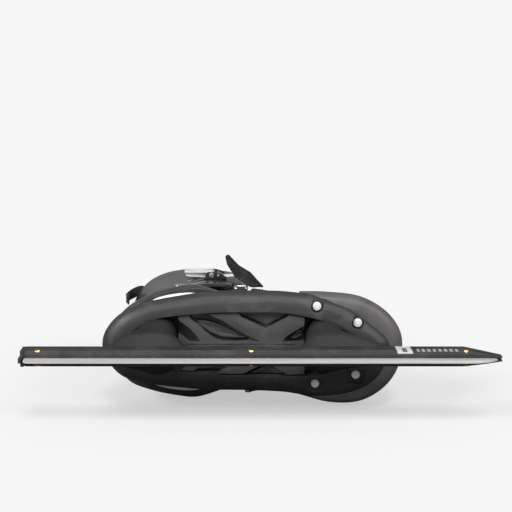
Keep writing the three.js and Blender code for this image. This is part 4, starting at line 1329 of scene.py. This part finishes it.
# ---- Boot ----
@dataclass
class Boot:
    """The coated upper with its seams, the toe cap, the heel counter and the inside of the boot."""

    wall: float = 3.5
    throat: tuple[Point, Point] = ((-30, 128, -19), (80, 220, 13))
    toe_levels: tuple[Level, ...] = ((56.5, 11), (59, 5), (63, 2), (70, 0.4), (80, 0), (90, 1))
    counter_levels: tuple[Level, ...] = ((84.5, 1.5), (88, -0.4), (93, -0.8), (99.5, 2.5))
    footbed_levels: tuple[Level, ...] = (
        (79.75, 6.6), (80.3, 5.4), (81.4, 5), (82.6, 5.1), (83.4, 6), (83.9, 8.5),
    )

    def build(self, stitches: Repeat) -> None:
        """Makes and dresses the boot."""
        self.upper()
        self.seams(stitches)
        self.toe_cap()
        self.counter()
        self.collar()
        self.tongue()
        self.inside()

    def upper(self) -> None:
        """Makes the coated upper below the cuff's wedge, open at the throat."""
        body = loft("boot_upper_shell", boot_rings(0, 73, 200))
        carve(body, [loft("hollow", boot_rings(self.wall, 75.3, 201))])
        low_part = wedge("low_part", -185, 33)
        carve(low_part, [rod("ear", 12, "z", (*PIVOT, 0), 90)], Cut.JOIN)
        carve(body, [low_part], Cut.KEEP)
        carve(body, [block("throat", *self.throat), rod("pivot", 2.6, "z", (*PIVOT, 0), 80)])
        carve(body, [rod("bolt_room", BOLT_ROOM, "y", (x, 73, 0), 6) for x in CUP_BOLTS.values()])
        soften(body, 0.8, 3, 40, 50)
        dress(body, COATED, "skate", "boot_upper")

    def seams(self, stitches: Repeat) -> None:
        """Sews the seams of the upper: one over the toes and a double one at each quarter."""
        lines = (("toe_seam_{}", (48, 66), (88.5, 113), 14),
                 ("quarter_seam_{}", (-42, -12), (101.5, 126), 16),
                 ("quarter_seam_{}_second", (-38, -8), (99.5, 124), 16))
        for side, tag in ((1, "outer"), (-1, "inner")):
            for name, along_x, along_y, count in lines:
                points = [skin_point(BOOT_LEVELS, y, x, side, 0.15)
                          for x, y in zip(np.linspace(*along_x, count), np.linspace(*along_y, count))]
                stitches.run(name.format(tag), guide_line(points), THREAD, "skate")

    def toe_cap(self) -> None:
        """Makes the soft-edged bumper round the toes."""
        rings = [ring(y, *TOE_CAP_ENDS, SOLE_LATERAL, SOLE_MEDIAL, inset, (55 - y) * 0.2)
                 for y, inset in refined(self.toe_levels, 4)]
        body = carve(loft("toe_bumper", rings), [block("toe_end", (38, 50, -80), (140, 90, 80))], Cut.KEEP)
        levels = [(49, 14, 0), *CHASSIS_LEVELS, (94, 1, -7)]
        carve(body, [loft("rim_room", chassis_rings(-FIT, levels)), boot_room()])
        keep_largest(body)
        soften(body, 1.1, 3, 32, 45)
        dress(body, BUMPER, "skate", "toe_cap")

    def counter(self) -> None:
        """Makes the hard heel counter, thinned towards its front ends."""
        rings = []
        for y, inset in refined(self.counter_levels, 5):
            full = ring(y, *COUNTER_ENDS, SOLE_LATERAL * 1.07, SOLE_MEDIAL * 1.27, inset, -5.5)
            thin = boot_ring(level_at(BOOT_LEVELS, y), -0.9)
            share = np.clip((full[:, 0] + 60) / 42, 0, 1)[:, None]
            share = share * share * (3 - 2 * share)
            near = full.copy()
            near[:, 2] = full[:, 2] * (1 - share[:, 0]) + thin[:, 2] * share[:, 0]
            rings.append(near)
        body = loft("hard_counter", rings)
        carve(body, [block("keep", (-140, 84.5, FLOOR_Z + 0.3), (-21, 99.5, 60))], Cut.KEEP)
        carve(body, [boot_room()])
        keep_largest(body)
        soften(body, 0.8, 3, 30, 45)
        dress(body, GLOSS, "skate", "heel_counter")

    def collar(self) -> None:
        """Makes the padded collar that swells above the cuff."""
        body = loft("padded_collar", boot_rings(-0.7, 73, 202.3))
        carve(body, [loft("hollow", boot_rings(7.4, 72, 203.5))])
        part = wedge("high_part", 46.5, 169.5)
        carve(part, [rod("ear", 14.4, "z", (*PIVOT, 0), 90)])
        carve(body, [part], Cut.KEEP)
        carve(body, [block("front", (-33, 100, -22), (80, 240, 16))])
        keep_largest(body)
        inflate(body, 3.0, 4.0, 1.3)
        dress(body, LINING, "cuff", "collar")

    def tongue(self) -> None:
        """Makes the padded tongue that lies under the straps."""
        body = loft("padded_tongue", boot_rings(5.3, 75.3, 213))
        carve(body, [loft("hollow", boot_rings(10.3, 70, 215))])
        carve(body, [block("keep", (-19, 132, -16), (60, 215, 10))], Cut.KEEP)
        keep_largest(body)
        inflate(body, 2.4, 4.0, 1.2)
        dress(body, LINING, "skate", "tongue")

    def inside(self) -> None:
        """Makes the insole board and the crowned footbed."""
        dress(refine("insole_board", "pressed_insole_board", 0.3, 2), BOARD, "skate")
        rings = [boot_ring(level_at(BOOT_LEVELS, y), extra) for y, extra in self.footbed_levels]
        body = loft("felt_footbed", rings)
        shade(body, 50)
        dress(body, FELT, "skate", "footbed")


def keep_largest(obj: bpy.types.Object) -> bpy.types.Object:
    """Deletes every loose part of a body but the one with the largest area."""
    work = bmesh.new()
    work.from_mesh(obj.data)
    left = set(work.faces)
    groups = []
    while left:
        stack, group = [left.pop()], []
        while stack:
            face = stack.pop()
            group.append(face)
            for edge in face.edges:
                for other in edge.link_faces:
                    if other in left:
                        left.remove(other)
                        stack.append(other)
        groups.append(group)
    groups.sort(key=lambda g: sum(f.calc_area() for f in g), reverse=True)
    extra = [face for group in groups[1:] for face in group]
    bmesh.ops.delete(work, geom=extra, context="FACES")
    work.to_mesh(obj.data)
    work.free()
    return obj


# ---- Cuff, buckle and straps ----
@dataclass
class Cuff:
    """The hinged hard cuff and its two pivot rivets."""

    wall: float = 2.6
    ear: float = 16
    front_cut: float = -22

    def build(self) -> None:
        """Makes and dresses the cuff."""
        body = loft("hinged_cuff", cuff_rings(0))
        carve(body, [loft("hollow", cuff_rings(self.wall, 2))])
        cover = wedge("cover", 22, 172)
        carve(cover, [rod("ear", self.ear, "z", (*PIVOT, 0), 90, 96)], Cut.JOIN)
        carve(body, [cover], Cut.KEEP)
        carve(body, [block("front", (self.front_cut, 90, -80), (60, 240, 80)),
                     rod("pivot", 2.6, "z", (*PIVOT, 0), 90),
                     rod("buckle_hole", RIVET_ROOM, "z", (*BUCKLE, 30), 30),
                     rod("ladder_hole", RIVET_ROOM, "z", (LADDER_RIVET_X, BUCKLE[1], -46), 15)])
        self.relief(body)
        keep_largest(body)
        soften(body, 0.7, 3, 30, 45)
        dress(body, GLOSS, "cuff", "cuff")
        for side in ("lateral", "medial"):
            dress(refine(f"cuff_rivet_{side}", f"pivot_rivet_{side}", 0.5, 3), BRIGHT, "cuff")

    @staticmethod
    def relief(body: bpy.types.Object) -> None:
        """Cuts two shallow swept grooves into the outer and inner sides of the cuff."""
        for side in (1, -1):
            for start, end in ((52, 58), (64, 70)):
                groove = wedge("groove", start, end, 62)
                shell = loft("shell", cuff_rings(-1, 1))
                carve(shell, [loft("core", cuff_rings(0.5, 2))])
                carve(shell, [groove], Cut.KEEP)
                near = block("near", (-62, 128, 0 if side > 0 else -70), (-20, 180, 70 if side > 0 else 0))
                carve(shell, [near], Cut.KEEP)
                carve(body, [shell])


@dataclass
class Straps:
    """The buckle, the ladder strap and the straps over the instep."""

    buckle_floor: float = 36.47
    ladder_half: float = 4.6
    ladder_thick: float = 1.1
    ladder_lift: float = 2.45
    strap_at: tuple[float, float] = (-1, 111)
    strap_tilt: float = 38
    strap_half: float = 8.5
    strap_thick: float = 1.9
    tab_hinge: tuple[float, float] = (2, 38)
    tab_y: float = 114
    ring_at: tuple[float, float] = (-13.5, 39.5)

    def build(self, stitches: Repeat) -> None:
        """Makes and dresses the buckle and the straps."""
        self.ratchet()
        self.ladder()
        self.power_strap(stitches)
        self.tab(stitches)
        self.ring()
        self.keeper(stitches)
        self.pull_loop(stitches)

    def ratchet(self) -> None:
        """Makes the buckle's base, lever, pawl and pins."""
        dress(refine("buckle_base", "ratchet_base", 0.3, 2), BLACK_BUCKLE, "cuff")
        dress(refine("lever", "ratchet_lever", 0.35, 3), CLEAR, "lever")
        dress(refine("pawl", "ratchet_pawl", 0.15, 2), BRIGHT, "pawl")
        small = (("buckle_rivet", "base_rivet", BRIGHT), ("lever_pin", "lever_axle", BRIGHT),
                 ("pawl_pin", "pawl_axle", BRIGHT), ("ladder_rivet", "ladder_end_rivet", BRIGHT),
                 ("pawl_spring", "pawl_return_spring", ZINC))
        for node, name, finish in small:
            dress(refine(node, name, 0.2, 2), finish, "cuff")
        dress(refine("strap_rivet", "instep_rivet", 0.3, 3), BRIGHT, "skate")

    def ladder_path(self) -> np.ndarray:
        """Returns the middle line of the ladder strap, from the inner side to the buckle."""
        x, y = BUCKLE
        z = self.buckle_floor
        level = level_at(CUFF_LEVELS, y - self.ladder_half)
        skin = boot_ring(level, -1.3, 15)
        start, end = LADDER_RIVET_X - 7, -2
        inner = sorted((p for p in skin if p[2] <= level[6] and p[0] > start), key=lambda p: p[0])
        outer = sorted((p for p in skin if p[2] > level[6] and p[0] > end), key=lambda p: -p[0])
        first = skin_point(CUFF_LEVELS, y - self.ladder_half, start, -1, 1.3)
        last = skin_point(CUFF_LEVELS, y - self.ladder_half, end, 1, 1.3)
        lift = self.ladder_lift
        path = [first, *inner, *outer, last, (x + 19, y, z + 2.4), (x + 10, y, z + lift + 0.4),
                (x + 4, y, z + lift), (x - 14, y, z + lift), (x - 32, y, z + lift + 0.6)]
        flat = [(p[0], y, p[2]) for p in path]
        return smooth_path(flat, 150)

    def ladder(self) -> None:
        """Makes the ladder strap and the teeth on its outer end."""
        path = self.ladder_path()
        section = flat_section(self.ladder_thick, 2 * self.ladder_half, 0.35)

        def point(share: float) -> float:
            """Narrows the strap towards its free end."""
            return 1 - 0.55 * max(0.0, (share - 0.97) / 0.03) ** 2

        strap = sweep("ladder_strap_band", path, section, (0, 1, 0), taper=point)
        dress(strap, CLEAR, "cuff", "ladder_strap")
        teeth = tooth_tree(CLEAR)
        from_the_shin = [p for p in path[62:] if p[0] > -31]
        lifted = []
        for a, b in zip(from_the_shin, from_the_shin[1:]):
            way = (b - a) / np.linalg.norm(b - a)
            lifted.append(a + np.cross(way, (0, 1, 0)) * (-0.62))
        teeth.run("ladder_teeth", guide_line(lifted[:-16]), CLEAR, "cuff")

    def instep_line(self) -> list[tuple[float, float]]:
        """Returns the strap's line over the instep, as distances along and off the tilted plane."""
        turn = math.radians(self.strap_tilt)
        ux, uy = math.cos(turn), math.sin(turn)

        def skin(u: float, side: int) -> float:
            """Finds how far the boot's skin stands out under the strap's width."""
            reach = []
            for off in (-self.strap_half, 0, self.strap_half):
                x = self.strap_at[0] + u * ux - off * uy
                y = self.strap_at[1] + u * uy + off * ux
                reach.append(side * skin_point(BOOT_LEVELS, y, x, side, 2.2)[2])
            return side * max(reach)

        inner = [(u, skin(u, -1)) for u in range(-10, 29, 6)]
        outer = [(u, skin(u, 1)) for u in range(-10, 29, 6) if u >= 0][::-1]
        return [*inner, (36, -19), (39.5, -5), (36, 11), *outer]

    def on_strap_plane(self, u: float, v: float, z: float) -> tuple[float, float, float]:
        """Turns a place on the strap's tilted plane into a point."""
        turn = math.radians(self.strap_tilt)
        x = self.strap_at[0] + u * math.cos(turn) - v * math.sin(turn)
        y = self.strap_at[1] + u * math.sin(turn) + v * math.cos(turn)
        return x, y, z

    def power_strap(self, stitches: Repeat) -> None:
        """Makes the wide strap over the instep, with a seam along each edge."""
        turn = math.radians(self.strap_tilt)
        path = smooth_path([self.on_strap_plane(u, 0, z) for u, z in self.instep_line()], 120)
        up = (-math.sin(turn), math.cos(turn), 0)
        strap = sweep("instep_strap", path, flat_section(self.strap_thick, 2 * self.strap_half, 0.8, 4), up)
        dress(strap, WEBBING, "skate", "power_strap")
        for v, tag in ((-6.6, "low"), (6.6, "high")):
            line = []
            for a, b in zip(path[1:], path[2:]):
                way = (b - a) / np.linalg.norm(b - a)
                side = np.cross(way, up)
                line.append(a + np.array(up) * v - side * self.strap_thick * 0.52)
            stitches.run(f"instep_seam_{tag}", guide_line(line), THREAD, "skate")

    def tab(self, stitches: Repeat) -> None:
        """Makes the doubled tab that stands up from the strap."""
        hx, hz = self.tab_hinge
        outline = [(hx + 5, hz), (-4.9, 51.5), (-15.5, 58), (-24.5, 67.8), (-27.5, 66.3), (-26, 59),
                   (-18.8, 47), (-12, hz + 4.4), (-5, hz)]
        body = slab("standing_tab", outline, self.tab_y - 1.3, self.tab_y + 1.3)
        round_outline(body, 0.9)
        planar_uv(body)
        soften(body, 0.9, 4, 50, 60)
        dress(body, WEBBING, "tab", "strap_tab")
        inner = [(hx + 1.5, hz + 3), (-6.8, 49.4), (-17, 55.6), (-24.4, 62.8), (-23.6, 58), (-16.8, 47.2),
                 (-9.5, hz + 5.6), (-3.5, hz + 3)]
        for side, tag in ((-1, "front"), (1, "back")):
            line = smooth_path([(x, self.tab_y + side * 1.42, z) for x, z in inner], 60, closed=True)
            stitches.run(f"tab_seam_{tag}", guide_line([*line, line[0]]), THREAD, "tab")

    def ring(self) -> None:
        """Makes the rounded rectangular ring of bright wire."""
        x, z = self.ring_at
        half, low, high, corner, wire_radius, sides = 5.4, 101, 110, 2.2, 1.1, 16
        path = []
        for cx, cy, start in ((x + half - corner, high - corner, 0), (x - half + corner, high - corner, 90),
                              (x - half + corner, low + corner, 180), (x + half - corner, low + corner, 270)):
            for k in range(7):
                angle = math.radians(start + 15 * k)
                path.append((cx + corner * math.cos(angle), cy + corner * math.sin(angle), z))
        turns = [2 * math.pi * k / sides for k in range(sides)]
        section = [(wire_radius * math.cos(turn), wire_radius * math.sin(turn)) for turn in turns]
        wire = sweep("wire_ring", smooth_path(path, 72, closed=True), section, (0, 0, 1), closed=True)
        dress(wire, BRIGHT, "ring", "strap_ring")

    def keeper(self, stitches: Repeat) -> None:
        """Makes the folded webbing that holds the ring."""
        middle = self.ring_at[0]
        fold = ((88, 39.6), (93, 40.6), (98.4, 41.4), (101.6, 41.2), (103.2, 39.5), (101.6, 37.8),
                (98.4, 37.6), (94, 38.1))
        points = [(middle, y, z) for y, z in fold]
        keeper = sweep("ring_keeper_fold", smooth_path(points, 48), flat_section(0.9, 7.8, 0.4), (1, 0, 0))
        dress(keeper, WEBBING, "skate", "ring_keeper")
        for x, tag in ((-16.4, "rear"), (-10.6, "front")):
            line = [(x, y, z + 0.62) for _, y, z in smooth_path(points[:3], 12)]
            stitches.run(f"keeper_seam_{tag}", guide_line(line), THREAD, "skate")

    def pull_loop(self, stitches: Repeat) -> None:
        """Makes the webbing loop at the back of the collar."""
        points = [(-121.6, 186, 9), (-122.5, 193, 8.5), (-124.6, 203, 7), (-121.5, 210.6, 8.4),
                  (-114, 212, 12), (-109, 206, 14)]
        path = smooth_path(points, 64)
        loop = sweep("heel_pull_loop", path, flat_section(1.7, 9, 0.7, 4), (0, 0, 1))
        dress(loop, WEBBING, "cuff", "pull_loop")
        for z, tag in ((-3.4, "low"), (3.4, "high")):
            line = []
            for a, b in zip(path[2:], path[3:]):
                way = (b - a) / np.linalg.norm(b - a)
                out = np.cross((0, 0, 1), way)
                line.append((*(a + out * 0.9)[:2], a[2] + z))
            stitches.run(f"loop_seam_{tag}", guide_line(line), THREAD, "cuff")


def round_outline(obj: bpy.types.Object, radius: float) -> None:
    """Rounds the upright corners of a slab that is raised along Y."""
    work = bmesh.new()
    work.from_mesh(obj.data)
    upright = [e for e in work.edges if abs((e.verts[0].co - e.verts[1].co).normalized().y) > 0.99]
    bmesh.ops.bevel(work, geom=upright, offset=radius * METRE, segments=5, profile=0.5, affect="EDGES",
                    clamp_overlap=True)
    work.to_mesh(obj.data)
    work.free()


def planar_uv(obj: bpy.types.Object) -> None:
    """Lays the weave's UV map flat across a slab, in metres."""
    layer = obj.data.uv_layers.new(name="weave")
    for loop in obj.data.loops:
        co = obj.data.vertices[loop.vertex_index].co
        layer.data[loop.index].uv = (co.x * 0.8 + co.z * 0.6 + co.y, co.z * 0.8 - co.x * 0.6 + co.y)


# ---- Studio ----
@dataclass
class Studio:
    """The pale floor, the soft lights and the camera."""

    paper: Colour = (0.33, 0.33, 0.33)
    glow: float = 1.53
    bounce: float = 0.42
    sky_front: float = 0.4
    sky_back: float = 0.25
    floor_half: float = 120.0
    floor_level: float = -0.0002
    camera_at: tuple[float, float, float] = (-0.0039, -1.16439, 0.36293)
    pitch: float = 78.57
    lens: float = 94.14

    def build(self) -> None:
        """Sets up everything round the object."""
        self.floor()
        self.light()
        self.camera()

    def floor(self) -> None:
        """Lays a wide pale floor just under the object."""
        mesh = bpy.data.meshes.new("paper_floor")
        half = self.floor_half
        corners = [(x * half, y * half, self.floor_level) for x, y in ((-1, -1), (1, -1), (1, 1), (-1, 1))]
        mesh.from_pydata(corners, [], [(0, 1, 2, 3)])
        obj = link("paper_floor", mesh)
        paper = bpy.data.materials.new("pale_paper")
        paper.use_nodes = True
        graph = Graph(paper.node_tree)
        fibre = graph.add("ShaderNodeTexNoise", {
            "Vector": graph.add("ShaderNodeTexCoord").outputs["Object"], "Scale": 700, "Detail": 2})
        dim, bright = (opaque(scaled(self.paper, factor)) for factor in (0.995, 1.005))
        tone = graph.mix(fibre.outputs[0], dim, bright)
        seen = graph.add("ShaderNodeBsdfDiffuse", {"Color": tone})
        glow = graph.add("ShaderNodeEmission", {"Color": tone, "Strength": self.glow})
        lit = graph.add("ShaderNodeAddShader", {0: seen.outputs[0], 1: glow.outputs[0]})
        around = graph.add("ShaderNodeBsdfDiffuse", {"Color": opaque(scaled(self.paper, self.bounce))})
        path = graph.add("ShaderNodeLightPath")
        shader = graph.add("ShaderNodeMixShader", {
            0: path.outputs["Is Camera Ray"], 1: around.outputs[0], 2: lit.outputs[0]})
        graph.add("ShaderNodeOutputMaterial", {"Surface": shader.outputs[0]})
        mesh.materials.append(paper)

    def light(self) -> None:
        """Adds the sky and three soft distant lights."""
        scene = bpy.context.scene
        scene.view_settings.view_transform = "Standard"
        sky = bpy.data.worlds.new("studio")
        sky.use_nodes = True
        graph = Graph(sky.node_tree)
        way = graph.add("ShaderNodeSeparateXYZ", {0: graph.add("ShaderNodeTexCoord").outputs["Generated"]})
        turn = graph.add("ShaderNodeMapRange", {
            "Value": way.outputs[1], "From Min": -0.2, "From Max": 0.75, "To Min": self.sky_front,
            "To Max": self.sky_back}, interpolation_type="SMOOTHSTEP")
        shade_node = graph.add("ShaderNodeBackground", {"Color": (1.0, 1.0, 1.0, 1.0),
                                                        "Strength": turn.outputs[0]})
        graph.add("ShaderNodeOutputWorld", {"Surface": shade_node.outputs[0]})
        scene.world = sky
        for name, at, energy, spread in (("front_sun", (0.1, -0.75, 1.2), 1.25, 18),
                                         ("heel_sun", (-1.1, -0.7, 0.85), 2.5, 22),
                                         ("toe_sun", (1.0, -0.75, 0.8), 1.2, 22)):
            sun = bpy.data.lights.new(name, "SUN")
            sun.energy = energy
            sun.angle = math.radians(spread)
            self.place(bpy.data.objects.new(name, sun), at)

    @staticmethod
    def place(obj: bpy.types.Object, at: tuple[float, float, float]) -> None:
        """Puts a lamp at a point and turns it to the object."""
        obj.location = at
        obj.rotation_euler = (Vector((0, 0, 0.06)) - Vector(at)).to_track_quat("-Z", "Y").to_euler()
        bpy.context.scene.collection.objects.link(obj)

    def camera(self) -> None:
        """Sets the camera at the viewing angle."""
        data = bpy.data.cameras.new("viewer")
        data.lens = self.lens
        data.sensor_width = 36
        data.clip_start = 0.05
        obj = bpy.data.objects.new("viewer", data)
        obj.location = self.camera_at
        obj.rotation_euler = (math.radians(self.pitch), 0, 0)
        bpy.context.scene.collection.objects.link(obj)
        bpy.context.scene.camera = obj


def main() -> None:
    """Builds the skate in order."""
    logging.basicConfig(level=logging.INFO, format="%(name)s: %(message)s")
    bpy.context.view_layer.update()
    Studio().build()
    stitches = stitch_tree(THREAD)
    for part in (Blade(), Chassis(), Cups()):
        part.build()
    Boot().build(stitches)
    Cuff().build()
    Straps().build(stitches)


if __name__ == "__main__":
    main()
